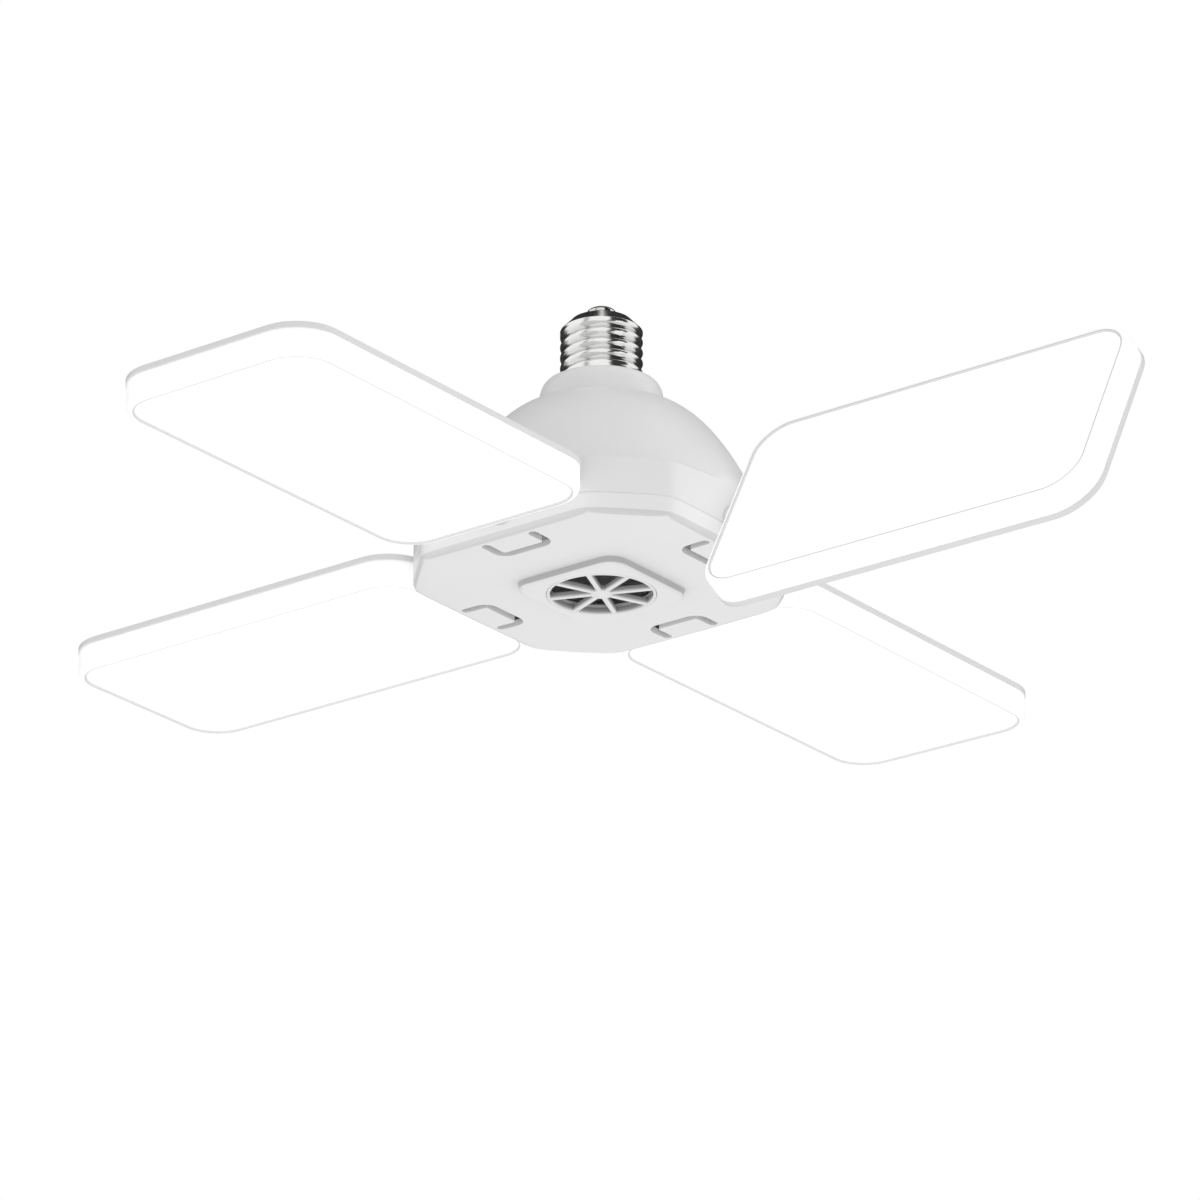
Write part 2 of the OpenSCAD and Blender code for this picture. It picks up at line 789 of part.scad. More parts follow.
// Places of the screws that hold the light board, between its packages
module each_board_screw() {
  for (x = [board_in + led_pitch_x, board_out - led_pitch_x], side = [-1, 1])
    translate([x, side * led_pitch_y, 0]) children();
}

module back_shell() {
  color("gainsboro") difference() {
    union() {
      translate([0, 0, plate_low]) linear_extrude(plate_t - back_step) panel_outline(0);
      translate([0, 0, plate_low]) linear_extrude(plate_t) panel_outline(back_step_w);
      translate([0, 0, plate_low - rib_h]) linear_extrude(rib_h + gap) difference() {
        panel_outline(rib_inset);
        panel_outline(rib_inset + rib_t);
      }
    }
    bar_x(arm_neck_r + gap, panel_in - over, neck_out + gap);
    each_arm_screw() translate([0, 0, plate_low - over]) cylinder(r = screw_r + fit, h = screw_bite + over);
    each_board_screw() translate([0, 0, plate_low - over])
      cylinder(r = screw_r + fit, h = screw_bite + over);
  }
}

// A rounded pan from its light face up to the back plate
module lens_form(inset, low, edge, top) {
  hull($fn = hull_fn) {
    translate([0, 0, low]) linear_extrude(gap) panel_outline(inset + edge, $fn = hull_fn);
    translate([0, 0, low + edge * lens_knee]) linear_extrude(gap)
      panel_outline(inset + edge * lens_half, $fn = hull_fn);
    translate([0, 0, low + edge * lens_half]) linear_extrude(gap)
      panel_outline(inset + edge * lens_knee, $fn = hull_fn);
    translate([0, 0, low + edge]) linear_extrude(top - low - edge) panel_outline(inset, $fn = hull_fn);
  }
}

module diffuser() {
  color("white") difference() {
    lens_form(lens_inset, -face_h, lens_edge, plate_low);
    lens_form(lens_inset + lens_t, lens_t - face_h, lens_edge - lens_t / 2, plate_low + over);
    bar_x(arm_neck_r + gap, panel_in - over, neck_out + gap);
  }
}

module led_board() {
  r = panel_out_r - (panel_w - board_w) / 2;
  color("white") difference() {
    translate([0, 0, board_low]) linear_extrude(board_t) union() {
      translate([board_in, -board_w / 2]) square([board_out - board_in - r, board_w]);
      translate([board_in, r - board_w / 2]) square([board_out - board_in, board_w - 2 * r]);
      for (side = [-1, 1]) translate([board_out - r, side * (board_w / 2 - r)]) circle(r);
    }
    each_board_screw() translate([0, 0, board_low - over])
      cylinder(r = screw_r + gap, h = board_t + 2 * over);
  }
}

module led_chips() {
  color("khaki") for (i = [0.5:led_along], j = [0.5:led_across])
    translate([board_in + led_pitch_x * i, led_pitch_y * j - board_w / 2, board_low - led_h / 2])
      cube([led_len, led_w, led_h], center = true);
}

module screws(low) {
  translate([0, 0, low - screw_head_h]) cylinder(r = screw_head_r, h = screw_head_h);
  translate([0, 0, low]) cylinder(r = screw_r, h = plate_low + screw_bite - gap - low);
}

module board_screws() {
  color("silver") each_board_screw() screws(board_low);
}

module arm_screws() {
  color("silver") each_arm_screw() screws(-tab_low);
}

module swivel_arm() {
  color("lightgray") difference() {
    union() {
      bar_x(journal_r, journal_in, panel_in - gap);
      bar_x(arm_neck_r, panel_in - over, neck_out);
      span([tab_in, -tab_w / 2, -tab_low], [tab_out, tab_w / 2, plate_low]);
    }
    bar_x(journal_bore_r, journal_in - over, panel_in - 2 * over);
    bar_x(arm_bore_r, journal_in, tab_out + over);
    difference() {
      bar_x(journal_r + over, clip_in - gap, clip_in + clip_t + gap);
      bar_x(journal_r - groove_depth, clip_in - over, clip_in + clip_t + over);
    }
    each_arm_screw() translate([0, 0, -tab_low - over])
      cylinder(r = screw_r + gap, h = tab_low + plate_low + 2 * over);
  }
}

module retaining_clip() {
  color("silver") difference() {
    bar_x(clip_r, clip_in, clip_in + clip_t);
    bar_x(journal_r - groove_depth + fit, clip_in - over, clip_in + clip_t + over);
    translate([clip_in - over, 0, 0]) rotate([90 - clip_open / 2, 0, 0]) rotate([0, 90, 0])
      rotate(90) rotate_extrude(angle = clip_open) square([2 * clip_r, clip_t + 2 * over]);
  }
}

// Two leads through the barrel and the arm to the light board
module panel_leads() {
  solder_x = board_in + 2 * lead_r;
  color("red") for (y = [-lead_y, lead_y]) translate([0, y, 0]) {
    bar_x(lead_r, journal_in + 3 * gap, solder_x);
    translate([solder_x, 0, 0]) sphere(lead_r);
    translate([solder_x, 0, 0]) cylinder(r = lead_r, h = board_low);
  }
}

cap_shell();
cap_insulator();
cap_contact();
cap_leads();
bell_housing();
bottom_cover();
vent_grille();
driver_board();
driver_screws();
transformer();
bulk_capacitor();
choke();
bridge_rectifier();
fuse_resistor();
driver_chip();
hub_leads();
at_barrel(1) friction_ring();  // friction_ring_1
at_barrel(2) friction_ring();  // friction_ring_2
at_barrel(3) friction_ring();  // friction_ring_3
at_barrel(4) friction_ring();  // friction_ring_4
at_panel(1) back_shell();  // back_shell_1
at_panel(2) back_shell();  // back_shell_2
at_panel(3) back_shell();  // back_shell_3
at_panel(4) back_shell();  // back_shell_4
at_panel(1) diffuser();  // diffuser_1
at_panel(2) diffuser();  // diffuser_2
at_panel(3) diffuser();  // diffuser_3
at_panel(4) diffuser();  // diffuser_4
at_panel(1) led_board();  // led_board_1
at_panel(2) led_board();  // led_board_2
at_panel(3) led_board();  // led_board_3
at_panel(4) led_board();  // led_board_4
at_panel(1) led_chips();  // led_chips_1
at_panel(2) led_chips();  // led_chips_2
at_panel(3) led_chips();  // led_chips_3
at_panel(4) led_chips();  // led_chips_4
at_panel(1) board_screws();  // board_screws_1
at_panel(2) board_screws();  // board_screws_2
at_panel(3) board_screws();  // board_screws_3
at_panel(4) board_screws();  // board_screws_4
at_panel(1) swivel_arm();  // swivel_arm_1
at_panel(2) swivel_arm();  // swivel_arm_2
at_panel(3) swivel_arm();  // swivel_arm_3
at_panel(4) swivel_arm();  // swivel_arm_4
at_panel(1) arm_screws();  // arm_screws_1
at_panel(2) arm_screws();  // arm_screws_2
at_panel(3) arm_screws();  // arm_screws_3
at_panel(4) arm_screws();  // arm_screws_4
at_panel(1) retaining_clip();  // retaining_clip_1
at_panel(2) retaining_clip();  // retaining_clip_2
at_panel(3) retaining_clip();  // retaining_clip_3
at_panel(4) retaining_clip();  // retaining_clip_4
at_panel(1) panel_leads();  // panel_leads_1
at_panel(2) panel_leads();  // panel_leads_2
at_panel(3) panel_leads();  // panel_leads_3
at_panel(4) panel_leads();  // panel_leads_4
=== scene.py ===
import math
import bpy
import bmesh
from mathutils import Matrix, Vector


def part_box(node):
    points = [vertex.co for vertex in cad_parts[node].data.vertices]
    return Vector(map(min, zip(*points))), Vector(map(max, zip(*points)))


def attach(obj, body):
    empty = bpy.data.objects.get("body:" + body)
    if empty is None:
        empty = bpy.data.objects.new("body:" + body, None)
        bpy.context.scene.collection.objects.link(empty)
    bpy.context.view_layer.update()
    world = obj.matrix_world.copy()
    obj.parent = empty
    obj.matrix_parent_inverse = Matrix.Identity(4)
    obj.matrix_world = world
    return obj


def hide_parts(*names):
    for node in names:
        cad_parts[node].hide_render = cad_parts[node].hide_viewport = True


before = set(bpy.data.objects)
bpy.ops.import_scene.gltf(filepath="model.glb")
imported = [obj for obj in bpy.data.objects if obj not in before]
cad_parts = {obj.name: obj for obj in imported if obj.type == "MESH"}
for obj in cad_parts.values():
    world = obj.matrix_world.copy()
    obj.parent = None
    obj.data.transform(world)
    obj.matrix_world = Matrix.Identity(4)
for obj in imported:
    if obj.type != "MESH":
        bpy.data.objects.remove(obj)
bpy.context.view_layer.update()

# ---- The stand for the picture ----
# A long lens looks up at the hanging light from below, from between the turned panel and the flat one on its
# left. The places come from the photograph's 1200 px frame and the hub's own axis.
photo_side = 1200
photo_axis_x = 601.5
photo_axis_y = 596.0
focal_px = 6518.25
lens_distance = 2.0246
lens_azimuth = math.radians(37.09)
lens_rise = math.radians(22.03)
sensor_mm = 36
aim_drop = 0.0712

camera_data = bpy.data.cameras.new("studio_camera")
camera_data.sensor_width = sensor_mm
camera_data.lens = focal_px / photo_side * sensor_mm
camera_data.shift_x = (photo_side / 2 - photo_axis_x) / photo_side
camera_data.shift_y = (photo_axis_y - photo_side / 2) / photo_side
camera_data.clip_end = 100
camera = bpy.data.objects.new("studio_camera", camera_data)
bpy.context.scene.collection.objects.link(camera)
towards_lens = Vector((
    math.sin(lens_azimuth) * math.cos(lens_rise),
    -math.cos(lens_azimuth) * math.cos(lens_rise),
    -math.sin(lens_rise),
))
camera.rotation_mode = "QUATERNION"
camera.rotation_quaternion = (-towards_lens).to_track_quat("-Z", "Y")
camera.location = Vector((0, 0, -aim_drop)) + lens_distance * towards_lens
bpy.context.scene.camera = camera
bpy.context.scene.view_settings.view_transform = "Standard"

floor_drop = 3.4
floor_half = 20
floor_mesh = bpy.data.meshes.new("studio_floor")
floor_mesh.from_pydata(
    [(x * floor_half, y * floor_half, -floor_drop) for x, y in ((-1, -1), (1, -1), (1, 1), (-1, 1))],
    [], [(0, 1, 2, 3)],
)
studio_floor = bpy.data.objects.new("studio_floor", floor_mesh)
bpy.context.scene.collection.objects.link(studio_floor)


def softbox(name, place, width, height, watts):
    """A soft rectangular lamp that points at the light's hub."""
    data = bpy.data.lights.new(name, "AREA")
    data.shape = "RECTANGLE"
    data.size, data.size_y, data.energy = width, height, watts
    lamp = bpy.data.objects.new(name, data)
    lamp.location = place
    lamp.rotation_mode = "QUATERNION"
    lamp.rotation_quaternion = (Vector((0, 0, -aim_drop)) - lamp.location).to_track_quat("-Z", "Y")
    lamp.visible_glossy = False
    bpy.context.scene.collection.objects.link(lamp)


across = Vector((math.cos(lens_azimuth), math.sin(lens_azimuth), 0))
away = Vector((-math.sin(lens_azimuth), math.cos(lens_azimuth), 0))
key_right = 1.3
key_front = 0.5
key_height = 1.9
key_side = 1.6
key_watts = 11
key_place = across * key_right - away * key_front + Vector((0, 0, key_height))
softbox("key_softbox", key_place, key_side, key_side, key_watts)


class Socket:
    """A node's output. Arithmetic on it adds the Math nodes to its tree."""

    def __init__(self, bench, output):
        self.bench, self.output = bench, output

    def math(self, operation, *terms):
        return self.bench.node("ShaderNodeMath", {"operation": operation}, *terms)

    def __add__(self, other):
        return self.math("ADD", self, other)

    def __radd__(self, other):
        return self.math("ADD", other, self)

    def __sub__(self, other):
        return self.math("SUBTRACT", self, other)

    def __rsub__(self, other):
        return self.math("SUBTRACT", other, self)

    def __mul__(self, other):
        return self.math("MULTIPLY", self, other)

    def __rmul__(self, other):
        return self.math("MULTIPLY", other, self)

    def __truediv__(self, other):
        return self.math("DIVIDE", self, other)

    def clamp(self):
        return self.math("MINIMUM", self.math("MAXIMUM", self, 0.0), 1.0)


class Bench:
    """A node tree being filled, either a surface finish or a shape's recipe."""

    def __init__(self, tree):
        self.tree = tree

    def join(self, socket, value):
        if isinstance(value, Socket):
            self.tree.links.new(value.output, socket)
        else:
            socket.default_value = value

    def node(self, kind, settings=None, *inputs, out=0, **named):
        made = self.tree.nodes.new(kind)
        for key, value in (settings or {}).items():
            if key == "stops":
                while len(made.color_ramp.elements) < len(value):
                    made.color_ramp.elements.new(0.5)
                for element, (place, shade) in zip(made.color_ramp.elements, value):
                    element.position = place
                    element.color = shade
            else:
                setattr(made, key, value)
        for index, value in enumerate(inputs):
            if value is not None:
                self.join(made.inputs[index], value)
        for key, value in named.items():
            self.join(made.inputs[key.replace("_", " ")], value)
        return Socket(self, made.outputs[out]) if made.outputs else None

    def tint(self, factor, low, high):
        """Mixes two colours."""
        mix = self.tree.nodes.new("ShaderNodeMix")
        mix.data_type = "RGBA"
        for socket, value in zip((mix.inputs[0], mix.inputs[6], mix.inputs[7]), (factor, low, high)):
            self.join(socket, value)
        return Socket(self, mix.outputs[2])


# The floor is a lit white sheet and the room is bright all round, so that the underside is bright too. For
# reflections alone both hold the dark flags of a product studio, which draw the upright bands on the plated
# cap. A flag has a bearing from the lens, a half width and a soft edge, in degrees, and a depth.
floor_level = 0.95
room_level = 0.7
flag_level = 0.03
studio_flags = ((50, 28, 5, 1), (-43, 9, 5, 0.6), (-145, 35, 8, 1), (145, 33, 8, 1))
facing = (towards_lens - Vector((0, 0, towards_lens.z))).normalized()


def studio_light(bench, direction, level):
    """White to the lens, even for soft light, and with dark flags for reflections."""
    dot = {"operation": "DOT_PRODUCT"}
    right_part = bench.node("ShaderNodeVectorMath", dot, direction, tuple(across), out=1)
    front_part = bench.node("ShaderNodeVectorMath", dot, direction, tuple(facing), out=1)
    bearing = right_part.math("ARCTAN2", right_part, front_part) * (180 / math.pi)
    flags = 0.0
    for middle, half, soft, depth in studio_flags:
        inside = (half - (bearing - middle).math("ABSOLUTE", bearing - middle)) / soft
        flags = flags + inside.clamp() * depth
    lit = bench.node("ShaderNodeMapRange", None, flags, 0.0, 1.0, 1.0, flag_level)
    path = bench.node("ShaderNodeLightPath")
    is_camera = Socket(bench, path.output.node.outputs["Is Camera Ray"])
    is_glossy = Socket(bench, path.output.node.outputs["Is Glossy Ray"])
    return is_camera + (1 - is_camera) * (is_glossy * lit + (1 - is_glossy) * level)


floor_glow = bpy.data.materials.new("lit_floor")
floor_glow.use_nodes = True
floor_glow.node_tree.nodes.clear()
sheet_tree = Bench(floor_glow.node_tree)
floor_place = sheet_tree.node("ShaderNodeTexCoord", out="Object")
glow = sheet_tree.node("ShaderNodeEmission", None, (1, 1, 1, 1),
                       studio_light(sheet_tree, floor_place, floor_level))
sheet_tree.node("ShaderNodeOutputMaterial", None, glow)
floor_mesh.materials.append(floor_glow)

world = bpy.data.worlds.new("studio_world")
bpy.context.scene.world = world
world.use_nodes = True
world.node_tree.nodes.clear()
room = Bench(world.node_tree)
background = room.node("ShaderNodeBackground", None, (1, 1, 1, 1),
                       studio_light(room, room.node("ShaderNodeTexCoord"), room_level))
room.node("ShaderNodeOutputWorld", None, background)

# ---- Screw cap: the rolled shell ----
# The metal shell that screws into the lamp holder. It is thin plated sheet with a right-hand knuckle thread
# rolled into it, a plain skirt under the thread, and a cone that closes in on the insulator.


class Recipe(Bench):
    """Geometry Nodes for one shape, with its sizes as named inputs."""

    def __init__(self, name):
        super().__init__(bpy.data.node_groups.new(name, "GeometryNodeTree"))
        self.tree.interface.new_socket("Geometry", in_out="OUTPUT", socket_type="NodeSocketGeometry")
        self.entry = self.tree.nodes.new("NodeGroupInput")
        self.values = {}

    def size(self, name, value):
        kind = "NodeSocketInt" if isinstance(value, int) else "NodeSocketFloat"
        self.values[self.tree.interface.new_socket(name, in_out="INPUT", socket_type=kind).identifier] = value
        return Socket(self, self.entry.outputs[name])

    def make(self, name, shape, material):
        """Ends the tree and returns its shape as a plain mesh."""
        whole = self.node("GeometryNodeRealizeInstances", None, shape)
        coated = self.node("GeometryNodeSetMaterial", None, whole, Material=material)
        self.join(self.tree.nodes.new("NodeGroupOutput").inputs[0], coated)
        piece = bpy.data.objects.new(name, bpy.data.meshes.new(name))
        bpy.context.scene.collection.objects.link(piece)
        modifier = piece.modifiers.new("recipe", "NODES")
        modifier.node_group = self.tree
        for identifier, value in self.values.items():
            modifier[identifier] = value
        return settle(piece)


def settle(piece):
    """Replaces a piece's mesh by the result of its modifiers and removes them."""
    bpy.context.view_layer.update()
    shaped = piece.evaluated_get(bpy.context.evaluated_depsgraph_get())
    mesh = bpy.data.meshes.new_from_object(shaped)
    piece.modifiers.clear()
    old = piece.data
    piece.data = mesh
    bpy.data.meshes.remove(old)
    mesh.name = piece.name
    return piece


def soften(piece, degrees):
    """Smooth shading that stops at real edges."""
    piece.data.shade_smooth()
    piece.data.set_sharp_from_angle(angle=math.radians(degrees))
    return piece


class Finish(Bench):
    """One surface finish: a principled shader and the nodes that feed it."""

    def __init__(self, name, **sockets):
        self.material = bpy.data.materials.new(name)
        self.material.use_nodes = True
        super().__init__(self.material.node_tree)
        self.tree.nodes.clear()
        self.shader = self.tree.nodes.new("ShaderNodeBsdfPrincipled")
        self.node("ShaderNodeOutputMaterial", None, Socket(self, self.shader.outputs[0]))
        self.place = self.node("ShaderNodeTexCoord", out="Object")
        self.feed(**sockets)

    def feed(self, **sockets):
        for key, value in sockets.items():
            self.join(self.shader.inputs[key.replace("_", " ")], value)

    def along(self, axis):
        return self.node("ShaderNodeSeparateXYZ", None, self.place, out=axis)

    def noise(self, scale, detail=3.0, roughness=0.5):
        return self.node("ShaderNodeTexNoise", None, self.place,
                         Scale=scale, Detail=detail, Roughness=roughness)

    def relief(self, height, strength, distance):
        bump = self.node("ShaderNodeBump", None, Height=height, Strength=strength, Distance=distance)
        self.feed(Normal=bump)


mm = 0.001
shell_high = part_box("cap_shell")[1]
shell_r = shell_high.x
shell_wall_h = 18.3 * mm
shell_mouth_r = 9.8 * mm
thread_pitch = 3.63 * mm
thread_depth = 1.0 * mm
thread_start = 2.2 * mm
thread_end = 18.1 * mm
thread_run = 1.6 * mm
sheet_t = 0.35 * mm

plating = Finish("nickel_plating", Metallic=1.0)
turning = plating.node(
    "ShaderNodeTexWave", {"bands_direction": "Z"}, plating.place, Scale=900.0, Distortion=1.5, Detail=2.0
)
handling = plating.noise(220.0, detail=4.0, roughness=0.6)
cap_place = plating.node("ShaderNodeVectorMath", {"operation": "MULTIPLY"}, plating.place, (1, 1, 0))
cap_reach = plating.node("ShaderNodeVectorMath", {"operation": "LENGTH"}, cap_place, out="Value")
# Painted shade: the plating is darker in the thread's valleys.
thread_valley_shade = ((shell_r - cap_reach) / thread_depth).clamp() * 0.5
plating.feed(
    Base_Color=plating.tint(thread_valley_shade, (0.86, 0.86, 0.85, 1), (0.5, 0.49, 0.47, 1)),
    Roughness=handling * 0.12 + 0.1,
)
plating.relief(turning + handling * 0.5, strength=0.05, distance=0.0002)

thread = Recipe("rolled_thread")
wall_r = thread.size("Shell radius", shell_r)
wall_h = thread.size("Wall height", shell_wall_h)
full_h = thread.size("Full height", shell_high.z)
mouth_r = thread.size("Mouth radius", shell_mouth_r)
pitch = thread.size("Pitch", thread_pitch)
depth = thread.size("Thread depth", thread_depth)
start = thread.size("Thread start", thread_start)
end = thread.size("Thread end", thread_end)
run = thread.size("Run-out", thread_run)
sheet = thread.node(
    "GeometryNodeMeshGrid", None, 2 * math.pi, 1.0,
    thread.size("Points round", 181), thread.size("Points up", 150),
)
spot = thread.node("GeometryNodeInputPosition")
turn = thread.node("ShaderNodeSeparateXYZ", None, spot, out="X")
climb = (thread.node("ShaderNodeSeparateXYZ", None, spot, out="Y") + 0.5) * full_h
lean = (climb - wall_h).clamp() / (full_h - wall_h) * (wall_r - mouth_r)
wave = climb.math("COSINE", climb * (2 * math.pi) / pitch - turn) * -0.5 + 0.5
fade = ((climb - start) / run).clamp() * ((end - climb) / run).clamp()
reach = wall_r - lean - depth * wave * fade
rolled = thread.node(
    "ShaderNodeCombineXYZ", None, reach * turn.math("COSINE", turn), reach * turn.math("SINE", turn), climb
)
rolled_sheet = thread.node("GeometryNodeSetPosition", None, sheet, Position=rolled)
seamed = thread.node("GeometryNodeMergeByDistance", None, rolled_sheet, Distance=1e-6)
cap_shell = thread.make("threaded_cap", seamed, plating.material)
thickness = cap_shell.modifiers.new("sheet", "SOLIDIFY")
thickness.thickness, thickness.offset = sheet_t, -1
soften(settle(cap_shell), 60)
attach(cap_shell, "hub")
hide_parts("cap_shell")

# ---- Screw cap: insulator and centre contact ----
# A dark pressed-glass disc with a bevelled edge closes the shell's cone. The dull metal dome of the centre
# contact is riveted through its middle.


def skin(name, loops, material, ring=True):
    """Quads between closed loops of points. A ring joins the last loop to the first, else both ends close."""
    weld = 1e-7
    count = len(loops[0])
    faces = []
    for row in range(len(loops) if ring else len(loops) - 1):
        low, high = row * count, (row + 1) % len(loops) * count
        faces += [(low + i, low + (i + 1) % count, high + (i + 1) % count, high + i) for i in range(count)]
    if not ring:
        faces += [tuple(reversed(range(count))), tuple((len(loops) - 1) * count + i for i in range(count))]
    mesh = bpy.data.meshes.new(name)
    mesh.from_pydata([point for loop in loops for point in loop], [], faces)
    tidy = bmesh.new()
    tidy.from_mesh(mesh)
    bmesh.ops.remove_doubles(tidy, verts=tidy.verts, dist=weld)
    bmesh.ops.dissolve_degenerate(tidy, edges=tidy.edges, dist=weld)
    bmesh.ops.recalc_face_normals(tidy, faces=tidy.faces)
    tidy.to_mesh(mesh)
    tidy.free()
    mesh.materials.append(material)
    piece = bpy.data.objects.new(name, mesh)
    bpy.context.scene.collection.objects.link(piece)
    return piece


def disc(radius, count=48):
    """Points round a circle."""
    turns = [2 * math.pi * i / count for i in range(count)]
    return [(radius * math.cos(a), radius * math.sin(a)) for a in turns]


def lathe(name, profile, material):
    """Turns a profile of (radius, height) pairs round the hub's axis."""
    loops = [[(x, y, height) for x, y in disc(radius, turned_facets)] for radius, height in profile]
    return soften(skin(name, loops, material, ring=False), 30)


turned_facets = 96
glass_low, glass_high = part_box("cap_insulator")
dome_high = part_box("cap_contact")[1]
bead = 0.5 * mm
pip_r = 0.02 * mm

glaze = Finish("cap_glaze", Roughness=0.18, Coat_Weight=0.6)
glaze.feed(Base_Color=glaze.tint(glaze.noise(300.0), (0.018, 0.018, 0.02, 1), (0.05, 0.05, 0.052, 1)))
insulator = lathe("cap_insulator_disc", [
    (pip_r, glass_low.z),
    (glass_high.x - bead, glass_low.z),
    (glass_high.x, glass_low.z + bead),
    (glass_high.x, shell_high.z - bead * 0.2),
    (glass_high.x - bead, shell_high.z + bead * 0.4),
    (dome_high.x + 2 * bead, glass_high.z - bead * 0.5),
    (dome_high.x + bead, glass_high.z),
    (pip_r, glass_high.z),
], glaze.material)
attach(insulator, "hub")
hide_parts("cap_insulator")

dulled = Finish("dulled_contact", Metallic=1.0, Roughness=0.38)
dulled.feed(Base_Color=dulled.tint(dulled.noise(420.0), (0.1, 0.1, 0.1, 1), (0.2, 0.195, 0.19, 1)))
dome_rise = dome_high.z - glass_high.z
dome_foot = 0.02 * mm
dome_edge = 0.2
dome_wall = 0.35
dome_steps = 12
contact = lathe("centre_contact", [
    (pip_r, glass_high.z - bead),
    (dome_high.x - bead, glass_high.z - bead),
    (dome_high.x - 0.5 * bead, glass_high.z + dome_foot),
    (dome_high.x, glass_high.z + dome_edge * dome_rise),
    *[
        (dome_high.x * math.cos(a), glass_high.z + dome_rise * (dome_wall + (1 - dome_wall) * math.sin(a)))
        for a in (step / dome_steps * math.pi / 2 for step in range(1, dome_steps))
    ],
    (pip_r, dome_high.z),
], dulled.material)
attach(contact, "hub")

# ---- Hub: the bell housing ----
# One moulded shell of satin white plastic: a round neck with a rolled top, a bell that swells from it, and
# under the bell an eight-sided skirt, whose corners stand out as small ledges. Inside are the upper half of
# each barrel's seat, four posts for the driver board and the catches for the cover's hooks.


def hub_reach(angle, inset=0.0, sharpness=60):
    """Radius of the hub's octagon at an angle, with its upright edges softened."""
    folded = (angle + math.pi / 4) % (math.pi / 2) - math.pi / 4
    limits = (
        (hub_side - inset) / math.cos(folded),
        (hub_corner - inset) / math.cos(abs(folded) - math.pi / 4),
        hub_edge_r - inset,
    )
    return sum(limit ** -sharpness for limit in limits) ** (-1 / sharpness)


def round_loop(reach, height):
    """A closed loop round the hub's axis. The radius and the height may follow the angle."""
    loop = []
    for i in range(hub_columns):
        angle = 2 * math.pi * i / hub_columns
        radius = reach(angle) if callable(reach) else reach
        level = height(radius) if callable(height) else height
        loop.append((radius * math.cos(angle), radius * math.sin(angle), level))
    return loop


def prism(name, outline, low, high, places, plane="XY"):
    """One closed prism on an outline at each of the places, in one mesh. Its plane is XY or XZ."""
    mesh = bmesh.new()
    for place in places:
        rings = []
        for level in (low, high):
            points = [(x, y, level) if plane == "XY" else (x, level, y) for x, y in outline]
            rings.append([mesh.verts.new(place @ Vector(point)) for point in points])
        low_ring, high_ring = rings
        mesh.faces.new(list(reversed(low_ring)))
        mesh.faces.new(high_ring)
        for i in range(len(outline)):
            j = (i + 1) % len(outline)
            mesh.faces.new((low_ring[i], low_ring[j], high_ring[j], high_ring[i]))
    bmesh.ops.recalc_face_normals(mesh, faces=mesh.faces)
    data = bpy.data.meshes.new(name)
    mesh.to_mesh(data)
    mesh.free()
    piece = bpy.data.objects.new(name, data)
    bpy.context.scene.collection.objects.link(piece)
    return piece


def rectangle(left, bottom, right, top):
    return [(left, bottom), (right, bottom), (right, top), (left, top)]


def rods(name, radius, start, end, places):
    """Cylinders along X of each place."""
    lying = [place @ Matrix.Rotation(math.pi / 2, 4, "Y") for place in places]
    return prism(name, disc(radius), start, end, lying)


def carve(piece, *steps):
    """Applies boolean steps, given as an operation and its tool, and removes the tools."""
    for operation, tool in steps:
        step = piece.modifiers.new(tool.name, "BOOLEAN")
        step.operation, step.object, step.solver = operation, tool, "EXACT"
    settle(piece)
    for _, tool in steps:
        bpy.data.objects.remove(tool)
    return piece


def quarter_turns(first=0.0, drop=0.0):
    """Four places round the hub's axis."""
    angles = [first + k * math.pi / 2 for k in range(4)]
    return [Matrix.Translation((0, 0, -drop)) @ Matrix.Rotation(angle, 4, "Z") for angle in angles]


hub_columns = 288
hub_side = 50.5 * mm
hub_corner = 58.5 * mm
hub_edge_r = 59.4 * mm
hub_wall = 2.2 * mm
neck_r = 19.6 * mm
neck_top_r = 16.9 * mm
neck_top = -0.3 * mm
neck_round = 5.7 * mm
neck_round_steps = 8
neck_h = 10 * mm
neck_bore_r = 9.8 * mm
seat_lip = 0.2 * mm
seat_under = 0.1 * mm
spigot_r = 12.25 * mm
spigot_h = 10 * mm
spigot_collar_h = 1.8 * mm
spigot_top_r = 11.6 * mm
spigot_edge = 0.4 * mm
swivel_drop = 59 * mm
hub_part = 60.7 * mm
part_groove = 0.4 * mm
bell_base_r = 51 * mm
bell_drop = 46.5 * mm
bell_power = 2
bell_rows = 56
first_inner_row = 2
bell_h = bell_drop - neck_h
ledge_run = 9.4 * mm
ledge_fall = 2.8 * mm
ledge_least = 0.3 * mm
ledge_under = 0.1 * mm
ledge_round = 0.7 * mm
ledge_round_steps = 5
journal_hole_r = 4.85 * mm
ring_hole_r = 6.35 * mm
ring_in = 40.6 * mm
ring_out = 46.6 * mm
ring_gap = 0.05 * mm
web_in = 33.2 * mm
web_out = 35.4 * mm
saddle_half = 10 * mm
saddle_h = 9 * mm
saddle_rib = 2 * mm
post_circle_r = 26 * mm
post_r = 3.2 * mm
post_bore_r = 1.3 * mm
post_bore_h = 8 * mm
driver_top = -37.2 * mm
catch_half = 7 * mm
catch_in = 55.4 * mm
catch_out = 56.4 * mm
catch_top = -55.2 * mm
catch_h = 0.9 * mm
bite = 0.1 * mm
through = 1 * mm


def bell_reach(t, inset=0.0):
    """The bell's radius and height at a share of its curve, drawn in square to the curve."""
    t = max(t, 1e-4)
    slope = bell_h * bell_power * t ** (bell_power - 1) / (bell_base_r - neck_r)
    normal = math.hypot(1, slope)
    return (
        neck_r + (bell_base_r - neck_r) * t - inset * slope / normal,
        -neck_h - bell_h * t ** bell_power - inset / normal,
    )


